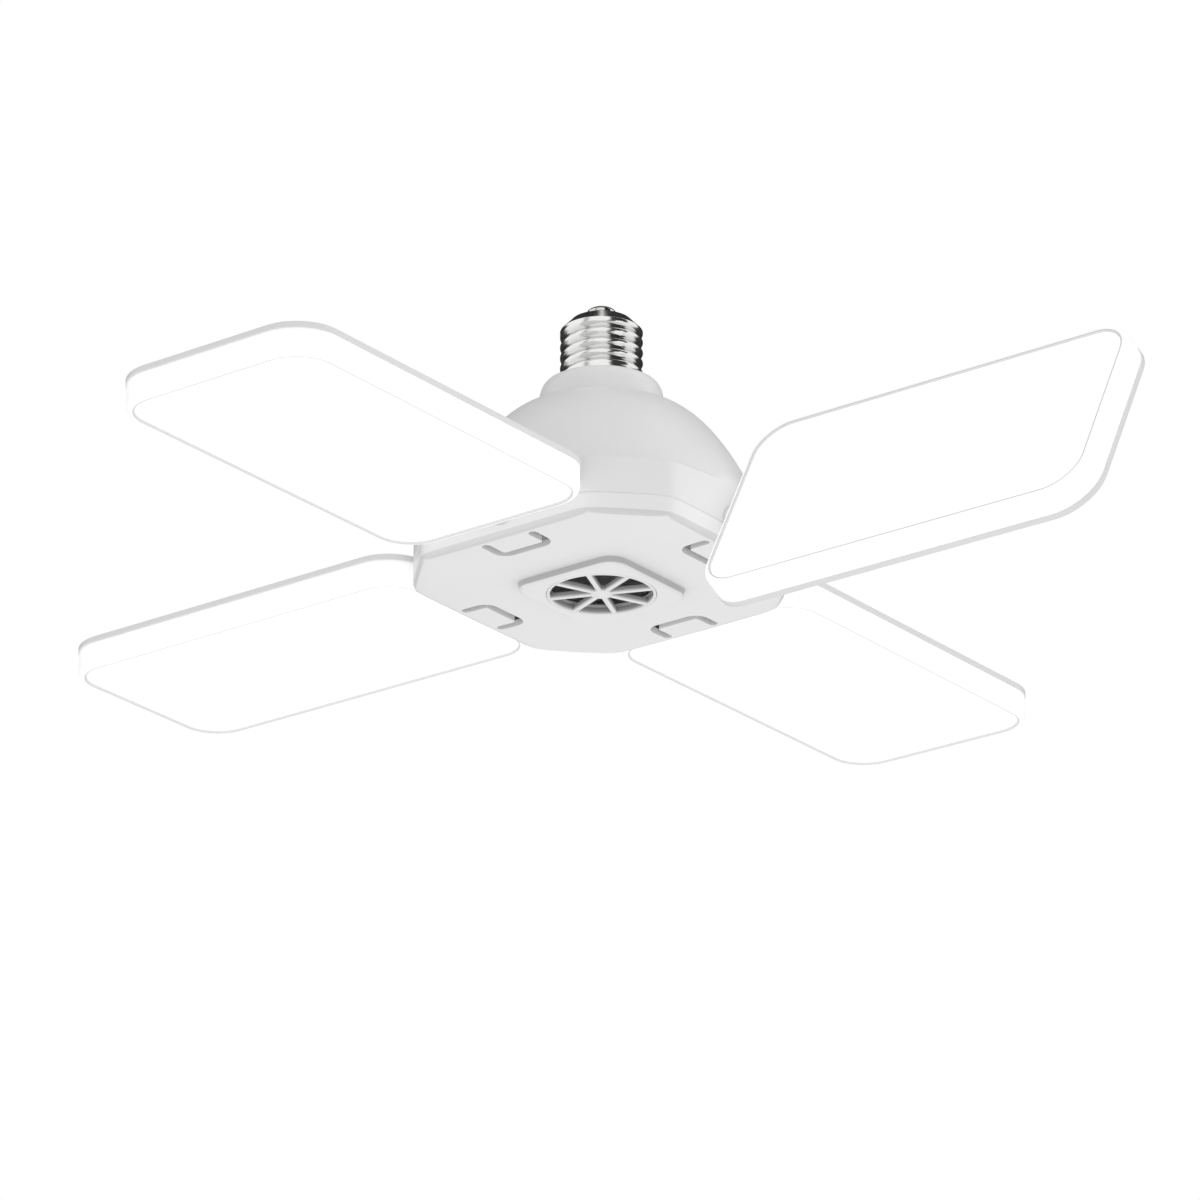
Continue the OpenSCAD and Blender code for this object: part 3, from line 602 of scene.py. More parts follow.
def bell_height(radius):
    """Height of the bell's outside at a radius: its curve, and beyond its foot the corner ledges."""
    if radius > bell_base_r:
        return -bell_drop - ledge_fall * (radius - bell_base_r) / ledge_run
    return bell_reach((radius - neck_r) / (bell_base_r - neck_r))[1]


def skirt_reach(angle):
    return hub_reach(angle, ledge_round)


def foot_reach(angle):
    return min(bell_base_r, skirt_reach(angle) - ledge_least)


def inner_reach(angle):
    return hub_reach(angle, hub_wall)


def ledge_inside(radius):
    """Height of the bell's inside under the corner ledges."""
    return -bell_drop - hub_wall - ledge_under - ledge_fall * max(radius - bell_base_r, 0) / ledge_run


bell_loops = [
    round_loop(lambda angle: hub_reach(angle, part_groove), -hub_part),
    round_loop(hub_reach, -hub_part + part_groove),
]
for step in range(ledge_round_steps + 1):
    turned = step / ledge_round_steps * math.pi / 2
    bell_loops.append(round_loop(
        lambda angle: hub_reach(angle, ledge_round * (1 - math.cos(turned))),
        lambda radius: bell_height(radius) - ledge_round * (1 - math.sin(turned)),
    ))
for share in (1 / 3, 2 / 3):
    bell_loops.append(round_loop(
        lambda angle: (1 - share) * skirt_reach(angle) + share * foot_reach(angle), bell_height
    ))
for row in range(bell_rows + 1):
    share = 1 - row / bell_rows
    bell_loops.append(round_loop(lambda angle: neck_r + share * (foot_reach(angle) - neck_r), bell_height))
for step in range(1, neck_round_steps + 1):
    lift = step / neck_round_steps * math.pi / 2
    bell_loops.append(round_loop(
        neck_top_r + (neck_r - neck_top_r) * math.cos(lift),
        -neck_round + (neck_round + neck_top) * math.sin(lift),
    ))
for radius, height in (
    (shell_r + seat_lip, neck_top), (shell_r - seat_under, neck_top), (shell_r - seat_under, 0),
    (spigot_r, 0), (spigot_r, spigot_collar_h), (spigot_top_r, spigot_collar_h),
    (spigot_top_r, spigot_h - spigot_edge), (spigot_top_r - spigot_edge, spigot_h),
    (neck_bore_r, spigot_h), (neck_bore_r, -neck_h - hub_wall),
):
    bell_loops.append(round_loop(radius, height))
for row in range(first_inner_row, bell_rows + 1):
    radius, height = bell_reach(row / bell_rows, hub_wall)
    bell_loops.append(round_loop(lambda angle: min(radius, inner_reach(angle)), height))
bell_loops.append(round_loop(lambda angle: min(bell_base_r, inner_reach(angle)), -bell_drop - hub_wall))
bell_loops.append(round_loop(inner_reach, ledge_inside))
bell_loops.append(round_loop(inner_reach, -hub_part))

moulding = Finish("satin_white_plastic", IOR=1.47)
mould_mottle = moulding.noise(38.0, detail=4.0, roughness=0.55)
mould_grain = moulding.noise(2600.0, detail=2.0)
moulding.feed(
    Base_Color=moulding.tint(mould_mottle, (0.80, 0.80, 0.80, 1), (0.86, 0.86, 0.855, 1)),
    Roughness=mould_mottle * 0.14 + 0.34,
)
moulding.relief(mould_grain, strength=0.12, distance=0.00004)

bell = skin("bell_shell", bell_loops, moulding.material)
barrels = quarter_turns(0, swivel_drop)
corners = quarter_turns(math.pi / 4)
side_in = hub_side - hub_wall + bite
saddle_ribs = [
    place @ Matrix.Translation((0, side * (saddle_half - saddle_rib / 2), 0))
    for place in barrels for side in (-1, 1)
]
posts = [place @ Matrix.Translation((post_circle_r, 0, 0)) for place in corners]
post_top = bell_height(post_circle_r + post_r) - bite
carve(
    bell,
    ("UNION", prism("webs", rectangle(web_in, -saddle_half, web_out, saddle_half), 0, saddle_h, barrels)),
    ("UNION", prism("ribs", rectangle(web_in, -saddle_rib / 2, side_in, saddle_rib / 2),
                    0, saddle_h, saddle_ribs)),
    ("UNION", prism("pads", rectangle(ring_in, -saddle_half, ring_out, saddle_half), 0, saddle_h, barrels)),
    ("UNION", prism("posts", disc(post_r), driver_top, post_top, posts)),
    ("UNION", prism("catches", rectangle(catch_in, -catch_half, catch_out, catch_half),
                    catch_top - catch_h, catch_top, corners)),
    ("DIFFERENCE", prism("post_bores", disc(post_bore_r, count=24),
                         driver_top - through, driver_top + post_bore_h, posts)),
    ("DIFFERENCE", rods("barrel_holes", journal_hole_r, web_in - through, hub_side + through, barrels)),
    ("DIFFERENCE", rods("ring_holes", ring_hole_r, ring_in - ring_gap, ring_out + ring_gap, barrels)),
)
soften(bell, 30)
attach(bell, "hub")
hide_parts("bell_housing")

# ---- Hub: the bottom cover ----
# The cover snaps under the bell. Its upright band carries on the bell's flats, its face is dished towards a
# raised square with the vent in it, and a U-shaped slot frees a springy tongue under each barrel.


def square_reach(half, corner):
    """Radius of a round-cornered square at an angle."""
    def reach(angle):
        folded = abs((angle + math.pi / 4) % (math.pi / 2) - math.pi / 4)
        flat = half / math.cos(folded)
        if flat * math.sin(folded) <= half - corner:
            return flat
        middle = (half - corner) * (math.cos(folded) + math.sin(folded))
        spread = 2 * (half - corner) ** 2 - middle ** 2
        return middle + math.sqrt(max(corner ** 2 - spread, 0))
    return reach


def dish_height(radius):
    return cover_low - dish_depth * (1 - (radius / hub_corner) ** 2)


def foot_of_boss(angle):
    return boss_reach(angle) + boss_foot


def cover_inside(radius):
    return dish_height(radius) + hub_wall


band_h = 6.9 * mm
cover_low = -hub_part - band_h
dish_depth = 0.6 * mm
dish_rows = 10
floor_rows = 6
cover_round = 1.4 * mm
cover_round_steps = 6
boss_half = 20 * mm
boss_corner = 6 * mm
boss_wall = 1.4 * mm
boss_drop = 3.3 * mm
boss_low = cover_low - boss_drop
boss_rows = 4
boss_round = 0.9 * mm
boss_round_steps = 5
boss_foot = 0.7 * mm
boss_foot_steps = 4
vent_hole_r = 17.2 * mm
vent_hole_edge = 0.3 * mm
slot_in = 36.5 * mm
slot_out = 46.4 * mm
slot_middle = 9 * mm
slot_half_w = 1.5 * mm
slot_bend = 4.6 * mm
slot_inner_edge = 0.6 * mm
slot_steps = 8
cradle_gap = 0.1 * mm
hook_face = 55.3 * mm
hook_t = 1.6 * mm
hook_h = 6.5 * mm
hook_top = -hub_part + hook_h
hook_barb = 0.9 * mm
boss_reach = square_reach(boss_half, boss_corner)
inner_boss_reach = square_reach(boss_half - boss_wall, boss_corner - boss_wall)
cover_loops = [
    round_loop(lambda angle: hub_reach(angle, part_groove), -hub_part),
    round_loop(hub_reach, -hub_part - part_groove),
]
for step in range(cover_round_steps + 1):
    turned = step / cover_round_steps * math.pi / 2
    drawn_in = cover_round * (1 - math.cos(turned))
    raised = cover_round * (1 - math.sin(turned))
    cover_loops.append(round_loop(
        lambda angle: hub_reach(angle, drawn_in), lambda radius: dish_height(radius) + raised
    ))
for row in range(1, dish_rows + 1):
    share = row / dish_rows
    cover_loops.append(round_loop(
        lambda angle: (1 - share) * hub_reach(angle, cover_round) + share * foot_of_boss(angle), dish_height
    ))
for step in range(1, boss_foot_steps + 1):
    turned = step / boss_foot_steps * math.pi / 2
    cover_loops.append(round_loop(
        lambda angle: boss_reach(angle) + boss_foot * (1 - math.sin(turned)),
        lambda radius: dish_height(radius) - boss_foot * (1 - math.cos(turned)),
    ))
for step in range(boss_round_steps + 1):
    turned = step / boss_round_steps * math.pi / 2
    cover_loops.append(round_loop(
        lambda angle: boss_reach(angle) - boss_round * (1 - math.cos(turned)),
        boss_low + boss_round * (1 - math.sin(turned)),
    ))
for row in range(1, boss_rows + 1):
    share = row / boss_rows
    cover_loops.append(round_loop(
        lambda angle: (1 - share) * (boss_reach(angle) - boss_round) + share * (vent_hole_r + vent_hole_edge),
        boss_low,
    ))
cover_loops.append(round_loop(vent_hole_r, boss_low + vent_hole_edge))
cover_loops.append(round_loop(vent_hole_r, boss_low + hub_wall))
cover_loops.append(round_loop(inner_boss_reach, boss_low + hub_wall))
cover_loops.append(round_loop(inner_boss_reach, cover_inside))
for row in range(1, floor_rows + 1):
    share = row / floor_rows
    cover_loops.append(round_loop(
        lambda angle: (1 - share) * inner_boss_reach(angle) + share * inner_reach(angle), cover_inside
    ))
cover_loops.append(round_loop(inner_reach, -hub_part))

# Painted shade on the plastic: darker on the rounded lower edge and on the upright walls of the square.
edge_shade_in = 1.7 * mm
edge_shade_soft = 0.5 * mm
edge_shade_h = 1.9 * mm
edge_shade_fade = 0.4 * mm
wall_shade_low = 0.5 * mm
wall_shade_soft = 0.4 * mm
wall_shade_top = 0.1 * mm
wall_shade_fade = 0.3 * mm

gloss = Finish("white_cover_plastic", IOR=1.47)
gloss_mottle = gloss.noise(30.0, detail=4.0, roughness=0.55)
across_x = gloss.along("X").math("ABSOLUTE", gloss.along("X"))
across_y = gloss.along("Y").math("ABSOLUTE", gloss.along("Y"))
side_inset = hub_side - across_x.math("MAXIMUM", across_x, across_y)
corner_inset = hub_corner - (across_x + across_y) * math.sqrt(0.5)
rim_inset = side_inset.math("MINIMUM", side_inset, corner_inset)
near_rim = ((edge_shade_in - rim_inset) / edge_shade_soft).clamp()
lower_edge_shade = near_rim * ((cover_low + edge_shade_h - gloss.along("Z")) / edge_shade_fade).clamp()
over_face = ((gloss.along("Z") - boss_low - wall_shade_low) / wall_shade_soft).clamp()
boss_top = cover_low - dish_depth + wall_shade_top
boss_wall_shade = over_face * ((boss_top - gloss.along("Z")) / wall_shade_fade).clamp()
plain = gloss.tint(gloss_mottle, (0.84, 0.84, 0.84, 1), (0.89, 0.89, 0.885, 1))
# The 0.7 grey is painted shade on the lower edge, the 0.5 grey painted shade on the square's walls.
gloss.feed(
    Base_Color=gloss.tint(boss_wall_shade, gloss.tint(lower_edge_shade, plain, (0.7, 0.7, 0.7, 1)), (0.5, 0.5, 0.5, 1)),
    Roughness=gloss_mottle * 0.12 + 0.3,
)
gloss.relief(gloss.noise(2600.0, detail=2.0), strength=0.1, distance=0.00004)

cover = skin("cover_shell", cover_loops, gloss.material)


def slot_outline():
    """The U-shaped slot: an outer round-cornered path, then back along the inner one with round leg ends."""
    points = []
    reach = slot_middle + slot_half_w
    inner_x = slot_in + 2 * slot_half_w
    inner_y = slot_middle - slot_half_w
    for side in (1, -1):
        bend_x = slot_in + slot_bend
        bend_y = side * (reach - slot_bend)
        inner = [(inner_x, side * (inner_y - slot_inner_edge)), (inner_x + slot_inner_edge, side * inner_y)]
        leg = [(slot_out + slot_half_w * math.sin(a), side * (slot_middle + slot_half_w * math.cos(a)))
               for a in (i / slot_steps * math.pi for i in range(slot_steps, -1, -1))]
        bend = [(bend_x + slot_bend * math.cos(a), bend_y + slot_bend * math.sin(a))
                for a in (math.pi - side * (1 - i / slot_steps) * math.pi / 2 for i in range(slot_steps + 1))]
        path = inner + leg + bend
        points += path if side > 0 else list(reversed(path))
    return points


cradle_half = slot_middle - slot_half_w - cradle_gap
cover_floor = cover_low + swivel_drop
hook_foot = dish_height(hook_face) + hub_wall / 2
hook_profile = [
    (hook_face - hook_t, hook_foot), (hook_face, hook_foot), (hook_face, hook_top - hook_barb),
    (hook_face + hook_barb, hook_top - hook_barb), (hook_face, hook_top), (hook_face - hook_t, hook_top),
]
carve(
    cover,
    ("DIFFERENCE", prism("slots", slot_outline(), boss_low, cover_low + hub_wall + bite, quarter_turns())),
    ("UNION", prism("lower_webs", rectangle(web_in, -saddle_half, web_out, saddle_half),
                    cover_floor, -bite, barrels)),
    ("UNION", prism("cradles", rectangle(ring_in, -cradle_half, ring_out, cradle_half),
                    cover_floor, -journal_hole_r / 2, barrels)),
    ("UNION", prism("hooks", hook_profile, -catch_half, catch_half, corners, "XZ")),
    ("DIFFERENCE", rods("lower_barrel_holes", journal_hole_r, web_in - through, hub_side + through, barrels)),
    ("DIFFERENCE", rods("lower_ring_holes", ring_hole_r, ring_in - ring_gap, ring_out + through, barrels)),
)
soften(cover, 30)
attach(cover, "hub")
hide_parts("bottom_cover")

# ---- Hub: the vent grille ----
# A separate moulded disc that clips into the raised square from behind: an outer ring with a flange behind
# it, a small middle disc, and straight spokes between them.
grille_r = 17.1 * mm
grille_ring = 1.0 * mm
grille_hub_r = 3.4 * mm
grille_spoke_w = 1.7 * mm
grille_spoke_t = 0.9
grille_spoke_bite = 0.2 * mm
grille_flange = 1.2 * mm
grille_flange_t = 1.2 * mm
grille_edge = 0.25 * mm
grille_facets = 96
grille_hub_facets = 64
grille_spokes = 8

vent = Recipe("spoked_vent")
ring_r = vent.size("Radius", grille_r)
ring_w = vent.size("Ring width", grille_ring)
middle_r = vent.size("Middle radius", grille_hub_r)
spoke_w = vent.size("Spoke width", grille_spoke_w)
depth = vent.size("Depth", hub_wall)
flange_w = vent.size("Flange width", grille_flange)
flange_t = vent.size("Flange thickness", grille_flange_t)
base_z = vent.size("Height", boss_low)
spokes = vent.size("Spokes", grille_spokes)


def shifted(shape, along, up):
    """The shape moved out along a spoke and up."""
    way = vent.node("ShaderNodeCombineXYZ", None, along, 0.0, up)
    return vent.node("GeometryNodeTransform", None, shape, Translation=way)


def band(outer, width, height, level):
    """A flat ring: a rectangle swept round a circle."""
    path = vent.node("GeometryNodeCurvePrimitiveCircle", None, grille_facets, Radius=outer - width * 0.5)
    section = vent.node("GeometryNodeCurvePrimitiveQuadrilateral", None, width, height)
    swept = vent.node("GeometryNodeCurveToMesh", None, path, section)
    return shifted(swept, 0.0, level + height * 0.5)


outer_ring = band(ring_r, ring_w, depth, base_z)
flange = band(ring_r + flange_w, ring_w + flange_w, flange_t, base_z + depth)
middle = vent.node("GeometryNodeMeshCylinder", None, grille_hub_facets, 1, 1, middle_r, depth)
middle_up = shifted(middle, 0.0, base_z + depth * 0.5)
spoke_len = ring_r - ring_w - middle_r + 2 * grille_spoke_bite
bar_size = vent.node("ShaderNodeCombineXYZ", None, spoke_len, spoke_w, depth * grille_spoke_t)
bar = vent.node("GeometryNodeMeshCube", None, bar_size)
bar_out = shifted(bar, middle_r + spoke_len * 0.5 - grille_spoke_bite, base_z + depth * 0.5)
seats = vent.node("GeometryNodePoints", None, spokes)
index = vent.node("GeometryNodeInputIndex")
swing = vent.node("ShaderNodeCombineXYZ", None, 0.0, 0.0, (index + 0.5) * (2 * math.pi) / spokes)
all_spokes = vent.node("GeometryNodeInstanceOnPoints", None, seats, Instance=bar_out, Rotation=swing)
whole_vent = vent.tree.nodes.new("GeometryNodeJoinGeometry")
for part in (all_spokes, middle_up, flange, outer_ring):
    vent.tree.links.new(part.output, whole_vent.inputs[0])
grille = vent.make("spoked_vent", Socket(vent, whole_vent.outputs[0]), gloss.material)
rounding = grille.modifiers.new("edges", "BEVEL")
rounding.width, rounding.segments, rounding.limit_method = grille_edge, 2, "ANGLE"
soften(settle(grille), 40)
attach(grille, "hub")
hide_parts("vent_grille")

# ---- Inside the hub: driver board and its parts ----
# A round glass-fibre board hangs under four posts on pan-head screws. The mains part sits on its lower side:
# a transformer, a bulk capacitor, a choke, a rectifier bridge, a fuse resistor and a small driver chip.


def coat(finish, *nodes):
    """Gives CAD nodes a finish."""
    for node in nodes:
        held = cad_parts[node].data.materials
        held.clear()
        held.append(finish.material)


def each_panel(name):
    """The nodes of a piece that every panel has."""
    return [f"{name}_{k}" for k in range(1, 5)]


def near_axis(finish, x, y, radius, soft=0.0001):
    """1 inside an upright cylinder of that radius, 0 outside."""
    offset = finish.node("ShaderNodeVectorMath", {"operation": "SUBTRACT"}, finish.place, (x, y, 0))
    flat = finish.node("ShaderNodeVectorMath", {"operation": "MULTIPLY"}, offset, (1, 1, 0))
    reach = finish.node("ShaderNodeVectorMath", {"operation": "LENGTH"}, flat, out="Value")
    return ((radius - reach) / soft).clamp()


def above(finish, height, soft=0.0001):
    """1 above a height, 0 below it."""
    return ((finish.along("Z") - height) / soft).clamp()


driver_t = 1.6 * mm
driver_low = driver_top - driver_t
laminate = Finish("green_laminate", Roughness=0.42, Coat_Weight=0.25)
tracks = laminate.node("ShaderNodeTexBrick", {"offset": 0.5}, laminate.place, Scale=120.0, Mortar_Size=0.06)
laminate.feed(Base_Color=laminate.tint(
    laminate.node("ShaderNodeSeparateColor", None, tracks) * 0.6 + laminate.noise(400.0) * 0.3,
    (0.015, 0.085, 0.03, 1), (0.03, 0.16, 0.06, 1)))
coat(laminate, "driver_board")

zinc = Finish("zinc_plate", Metallic=1.0)
zinc_wear = zinc.noise(700.0, detail=4.0, roughness=0.6)
zinc.feed(Base_Color=zinc.tint(zinc_wear, (0.62, 0.63, 0.65, 1), (0.78, 0.78, 0.79, 1)),
          Roughness=zinc_wear * 0.2 + 0.22)
coat(zinc, "driver_screws", *each_panel("board_screws"), *each_panel("arm_screws"))

transformer_x = -9 * mm
transformer_y = 2 * mm
winding_r = 5.15 * mm
tape = Finish("transformer_tape", Roughness=0.45)
tape_side = near_axis(tape, transformer_x, transformer_y, winding_r)
tape_wrap = tape.node("ShaderNodeTexWave", {"bands_direction": "Z"}, tape.place, Scale=330.0, Distortion=0.6)
tape.feed(Base_Color=tape.tint(
    tape_side,
    tape.tint(tape.noise(500.0), (0.03, 0.03, 0.032, 1), (0.07, 0.068, 0.066, 1)),
    tape.tint(tape_wrap, (0.75, 0.5, 0.06, 1), (0.9, 0.66, 0.12, 1))))
coat(tape, "transformer")

sleeve_h = 19.4 * mm
sleeve = Finish("capacitor_sleeve", Roughness=0.32)
can_end = above(sleeve, driver_low - sleeve_h)
sleeve.feed(
    Base_Color=sleeve.tint(
        can_end,
        (0.7, 0.71, 0.72, 1),
        sleeve.tint(sleeve.noise(250.0), (0.012, 0.016, 0.05, 1), (0.03, 0.035, 0.09, 1))),
    Metallic=1 - can_end,
)
coat(sleeve, "bulk_capacitor")

choke_x = 8 * mm
choke_y = -9 * mm
choke_wire_r = 3.65 * mm
core = Finish("ferrite_and_copper")
wound = near_axis(core, choke_x, choke_y, choke_wire_r)
turns_of_wire = core.node("ShaderNodeTexWave", {"bands_direction": "Z"}, core.place,
                          Scale=900.0, Distortion=0.3)
core.feed(
    Base_Color=core.tint(
        wound,
        core.tint(core.noise(600.0), (0.035, 0.035, 0.038, 1), (0.07, 0.07, 0.072, 1)),
        core.tint(turns_of_wire, (0.5, 0.2, 0.07, 1), (0.8, 0.38, 0.16, 1))),
    Metallic=wound * 0.9,
    Roughness=0.7 - wound * 0.35,
)
core.relief(turns_of_wire, strength=0.3, distance=0.0002)
coat(core, "choke")

epoxy = Finish("black_epoxy")
epoxy.feed(
    Base_Color=epoxy.tint(epoxy.noise(900.0), (0.016, 0.016, 0.017, 1), (0.045, 0.045, 0.046, 1)),
    Roughness=epoxy.noise(900.0) * 0.25 + 0.45,
)
epoxy.relief(epoxy.noise(3000.0), strength=0.2, distance=0.00005)
coat(epoxy, "driver_chip", "bridge_rectifier")

fuse_half = 4.5 * mm
fuse_edge = 0.1 * mm
enamel = Finish("resistor_enamel")
body_x = enamel.along("X")
inside_body = ((fuse_half - body_x.math("ABSOLUTE", body_x)) / fuse_edge).clamp()
enamel.feed(
    Base_Color=enamel.tint(
        inside_body,
        (0.7, 0.7, 0.7, 1),
        enamel.tint(enamel.noise(400.0), (0.04, 0.16, 0.1, 1), (0.08, 0.26, 0.17, 1))),
    Metallic=1 - inside_body,
    Roughness=0.4 - inside_body * 0.1,
)
coat(enamel, "fuse_resistor")

cap_lead_rise = 0.3 * mm
insulation = Finish("lead_insulation", Roughness=0.5)
near_cap = above(insulation, driver_top + cap_lead_rise)
insulation.feed(Base_Color=insulation.tint(
    near_cap,
    insulation.tint(insulation.noise(300.0), (0.5, 0.02, 0.02, 1), (0.62, 0.04, 0.035, 1)),
    insulation.tint(insulation.noise(300.0), (0.02, 0.02, 0.02, 1), (0.05, 0.05, 0.05, 1))))
coat(insulation, "cap_leads", "hub_leads", *each_panel("panel_leads"))

# ---- Swivels: friction rings, arms and retaining clips ----
# A hollow moulded arm turns in each barrel. A rubber ring grips it so that it stays where it is put, and a
# spring steel clip in its groove keeps it from pulling out.
rubber = Finish("friction_rubber", Roughness=0.75)
rubber_mottle = rubber.noise(500.0, detail=5.0)
rubber.feed(Base_Color=rubber.tint(rubber_mottle, (0.02, 0.02, 0.021, 1), (0.06, 0.06, 0.061, 1)))
rubber.relief(rubber.noise(1800.0), strength=0.25, distance=0.0001)
coat(rubber, *each_panel("friction_ring"))

acetal = Finish("acetal_arm", IOR=1.48)
acetal_mottle = acetal.noise(60.0, detail=4.0)
acetal.feed(Base_Color=acetal.tint(acetal_mottle, (0.74, 0.74, 0.735, 1), (0.83, 0.83, 0.825, 1)),
            Roughness=acetal_mottle * 0.15 + 0.3)
acetal.relief(acetal.noise(2400.0), strength=0.12, distance=0.00005)
coat(acetal, *each_panel("swivel_arm"))

spring = Finish("spring_steel", Metallic=1.0)
spring_scale = spring.noise(900.0, detail=5.0, roughness=0.6)
spring.feed(Base_Color=spring.tint(spring_scale, (0.3, 0.31, 0.33, 1), (0.5, 0.5, 0.52, 1)),
            Roughness=spring_scale * 0.25 + 0.25)
coat(spring, *each_panel("retaining_clip"))

# ---- Panels: light boards ----
# A white aluminium board lies against each panel's back plate on four small screws. Nine rows of four light
# packages sit on its lower side and shine down through the pan.
solder_mask = Finish("white_solder_mask", Roughness=0.35)
copper = solder_mask.node("ShaderNodeTexBrick", {"offset": 0.0}, solder_mask.place,
                          Scale=60.0, Mortar_Size=0.05)
solder_mask.feed(Base_Color=solder_mask.tint(
    solder_mask.node("ShaderNodeSeparateColor", None, copper), (0.74, 0.75, 0.74, 1), (0.86, 0.87, 0.86, 1)))
coat(solder_mask, *each_panel("led_board"))

phosphor = Finish("light_package", Roughness=0.4, Emission_Strength=0.6)
grains = phosphor.noise(2600.0, detail=2.0)
phosphor.feed(Base_Color=phosphor.tint(grains, (0.82, 0.7, 0.28, 1), (0.93, 0.84, 0.5, 1)),
              Emission_Color=phosphor.tint(grains, (1.0, 0.93, 0.72, 1), (1.0, 0.98, 0.9, 1)))
coat(phosphor, *each_panel("led_chips"))

# ---- Panels: back shell and diffuser ----
# Each panel is a shallow box with large corner radii. The back shell is a white plate with a stepped rim and
# a lip that fits into the pan. The milky pan closes it from below and carries the light face, with a fine
# raised bead round it.
panel_in = 51.3 * mm
panel_out = 191 * mm
panel_middle = (panel_in + panel_out) / 2
panel_half = 38 * mm
corner_in = 14 * mm
corner_out = 14.5 * mm
corner_steps = 14
first_turn = math.radians(-118)
neck_hole_r = 3.5 * mm
neck_hole_end = 55.9 * mm
screw_hole_r = 1.15 * mm
screw_hole_top = 4.6 * mm
arm_screws_x = (58.2 * mm, 70.4 * mm)
arm_screws_y = 8.6 * mm
board_screws_x = (88.57 * mm, 174.43 * mm)
board_screws_y = 16.85 * mm
screw_places = [
    (x, side * y)
    for columns, y in ((arm_screws_x, arm_screws_y), (board_screws_x, board_screws_y))
    for side in (1, -1) for x in columns
]
plate_low = 2.8 * mm
plate_edge = 0.15 * mm
lip_out = 1.9 * mm
lip_in = 3.3 * mm
lip_low = 0.2 * mm
lip_edge = 0.2 * mm
rim_top = 4.8 * mm
rim_curve = ((0, -0.6), (0.1, -0.25), (0.35, -0.05), (0.7, 0))
step_in = 2.2 * mm
step_curve = ((0, 0), (0.15, 0.03), (0.22, 0.12), (0.3, 0.28), (0.45, 0.37), (0.7, 0.4))
pan_out = 0.3 * mm
pan_in = 1.8 * mm
pan_inner_round = 1.25 * mm
pan_outer_round = 2 * mm
pan_edge = 0.15 * mm
lens_top = -4.1 * mm
lens_margin = 2.2 * mm
pan_low = -5.6 * mm
face_margin = 4 * mm
bead_out = 2.3 * mm
bead_w = 0.4 * mm
bead_h = 0.7 * mm
bead_edge = 0.08 * mm
bead_foot = 0.06 * mm


def panel_loop(inset, height):
    """The panel's outline drawn in by inset, at one height over its swivel axis."""
    loop = []
    for x, y, radius, first in (
        (panel_out - corner_out, panel_half - corner_out, corner_out, 0),
        (panel_in + corner_in, panel_half - corner_in, corner_in, 1),
        (panel_in + corner_in, corner_in - panel_half, corner_in, 2),
        (panel_out - corner_out, corner_out - panel_half, corner_out, 3),
    ):
        for i in range(corner_steps + 1):
            angle = (first + i / corner_steps) * math.pi / 2
            reach = radius - inset
            loop.append((x + reach * math.cos(angle), y + reach * math.sin(angle), height))
    return loop


def round_rows(inset, height, radius, degrees):
    """Rows on a quarter round, by how far each has turned from the upright wall towards the flat."""
    angles = [math.radians(turned) for turned in degrees]
    return [(inset + radius * (1 - math.cos(a)), height + radius * (1 - math.sin(a))) for a in angles]


# Each row is an inset from the panel's outline and a height over the swivel's axis. The two curves are in mm.
back_rows = [
    (lip_in, plate_low), (lip_in, lip_low + lip_edge), (lip_in - lip_edge, lip_low),
    (lip_out + lip_edge, lip_low), (lip_out, lip_low + lip_edge), (lip_out, plate_low),
    (plate_edge, plate_low), (0, plate_low + plate_edge),
    *[(inset * mm, rim_top + height * mm) for inset, height in rim_curve],
    *[(step_in + inset * mm, rim_top + height * mm) for inset, height in step_curve],
]
lens_in = pan_in + pan_inner_round
bead_in = bead_out + bead_w + bead_edge + 2 * bead_foot
pan_rows = [
    (lens_in + lens_margin, lens_top), (lens_in, lens_top),
    *round_rows(pan_in, lens_top, pan_inner_round, range(72, -1, -18)),
    (pan_in, plate_low - lip_edge), (pan_in - pan_edge, plate_low),
    (pan_out + pan_edge, plate_low), (pan_out, plate_low - pan_edge),
    *round_rows(pan_out, pan_low, pan_outer_round, range(0, 85, 12)),
    (bead_out, pan_low), (bead_out + bead_w, pan_low),
    (bead_out + bead_w + bead_edge, pan_low + bead_edge),
    (bead_in - bead_foot, pan_low + bead_h - bead_foot), (bead_in, pan_low + bead_h),
    (bead_out + face_margin, pan_low + bead_h),
]


def panel_depth(x, y):
    """How far a point lies inside the panel's outline."""
    corner = corner_in if x < panel_middle else corner_out
    over_x = abs(x - panel_middle) - (panel_out - panel_middle - corner)
    over_y = abs(y) - (panel_half - corner)
    return corner - math.hypot(max(over_x, 0), max(over_y, 0)) - min(max(over_x, over_y), 0)


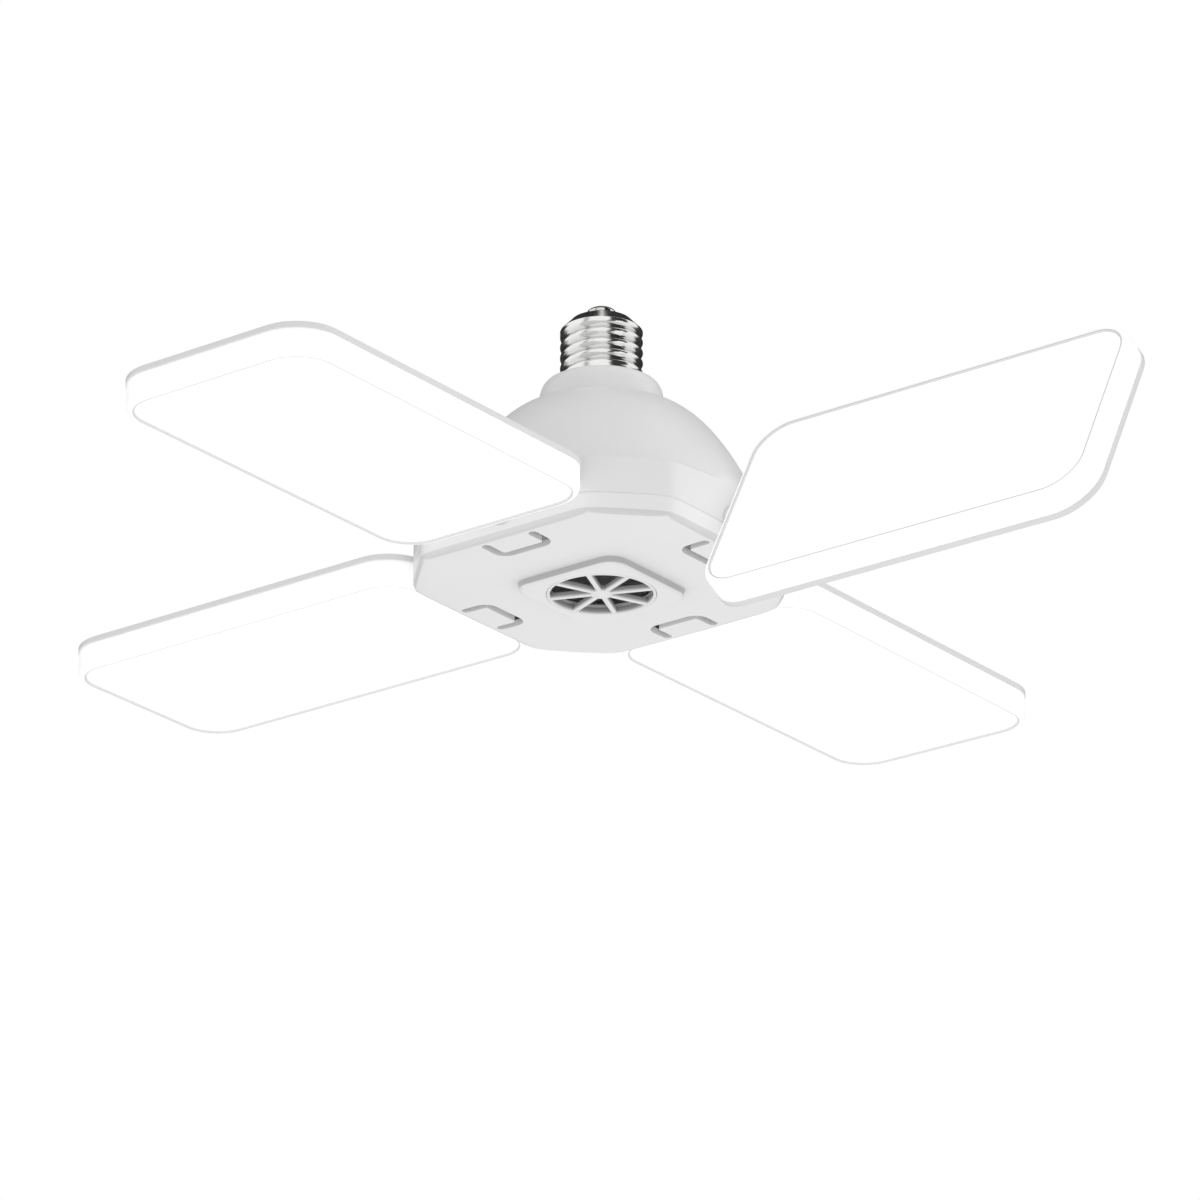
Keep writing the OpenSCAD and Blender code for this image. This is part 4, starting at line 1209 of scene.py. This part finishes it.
# The pan's attribute says where a point is: on the light face, on its bead, or how far up the wall.
face_mark = 0.0
bead_mark = 0.1
wall_mark = 0.2
touch = 0.01 * mm
milky = Finish("milky_diffuser", Emission_Strength=1.0)
away_from_face = milky.node("ShaderNodeAttribute", {"attribute_name": "away_from_face"}, out="Fac")
# Painted shade: the bead is a darker grey with no glow, drawing a shaded line round the light face, and the
# walls' glow fades near the back shell.
milky.feed(
    Base_Color=milky.node("ShaderNodeValToRGB", {"stops": (
        (0.0, (0.9, 0.9, 0.9, 1)), (0.06, (0.79, 0.79, 0.79, 1)),
        (0.12, (0.79, 0.79, 0.79, 1)), (0.18, (0.9, 0.9, 0.9, 1)),
    )}, away_from_face),
    Emission_Color=milky.node("ShaderNodeValToRGB", {"stops": (
        (0.0, (0.4, 0.4, 0.4, 1)), (0.06, (0, 0, 0, 1)), (0.12, (0, 0, 0, 1)),
        (0.18, (0.3, 0.3, 0.305, 1)), (0.85, (0.35, 0.35, 0.355, 1)), (1.0, (0.2, 0.2, 0.204, 1)),
    )}, away_from_face),
    Roughness=milky.noise(90.0) * 0.12 + 0.34,
)

backing = Finish("white_back_plastic", IOR=1.47)
backing_mottle = backing.noise(26.0, detail=4.0, roughness=0.55)
backing.feed(
    Base_Color=backing.tint(backing_mottle, (0.78, 0.78, 0.78, 1), (0.84, 0.84, 0.84, 1)),
    Roughness=backing_mottle * 0.14 + 0.36,
)
backing.relief(backing.noise(2400.0, detail=2.0), strength=0.12, distance=0.00004)

for k in range(1, 5):
    place = (Matrix.Rotation((k - 1) * math.pi / 2, 4, "Z") @ Matrix.Translation((0, 0, -swivel_drop))
             @ Matrix.Rotation(first_turn if k == 1 else 0.0, 4, "X"))
    back = skin(f"back_shell_skin_{k}", [
        [place @ Vector(point) for point in panel_loop(*row)] for row in back_rows
    ], backing.material, ring=False)
    screws = [place @ Matrix.Translation((x, y, 0)) for x, y in screw_places]
    carve(
        back,
        ("DIFFERENCE", prism("screw_holes", disc(screw_hole_r, count=20),
                             plate_low - through, screw_hole_top, screws)),
        ("DIFFERENCE", rods("neck_hole", neck_hole_r, panel_in - through, neck_hole_end, [place])),
    )
    soften(back, 32)
    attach(back, f"panel_{k}")
    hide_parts(f"back_shell_{k}")
    pan = skin(f"diffuser_pan_{k}", [
        [place @ Vector(point) for point in panel_loop(*row)] for row in pan_rows
    ], milky.material, ring=False)
    carve(pan, ("DIFFERENCE", rods("pan_neck_hole", neck_hole_r, panel_in - through, neck_hole_end, [place])))
    to_flat = place.inverted()
    marks = pan.data.attributes.new("away_from_face", "FLOAT", "POINT")
    for vertex, mark in zip(pan.data.vertices, marks.data):
        x, y, z = to_flat @ vertex.co
        depth_in = panel_depth(x, y)
        if depth_in > bead_in - touch:
            mark.value = face_mark
        elif depth_in > bead_out - touch:
            mark.value = bead_mark
        else:
            mark.value = wall_mark + (1 - wall_mark) * (z - pan_low) / (plate_low - pan_low)
    soften(pan, 32)
    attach(pan, f"panel_{k}")
    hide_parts(f"diffuser_{k}")
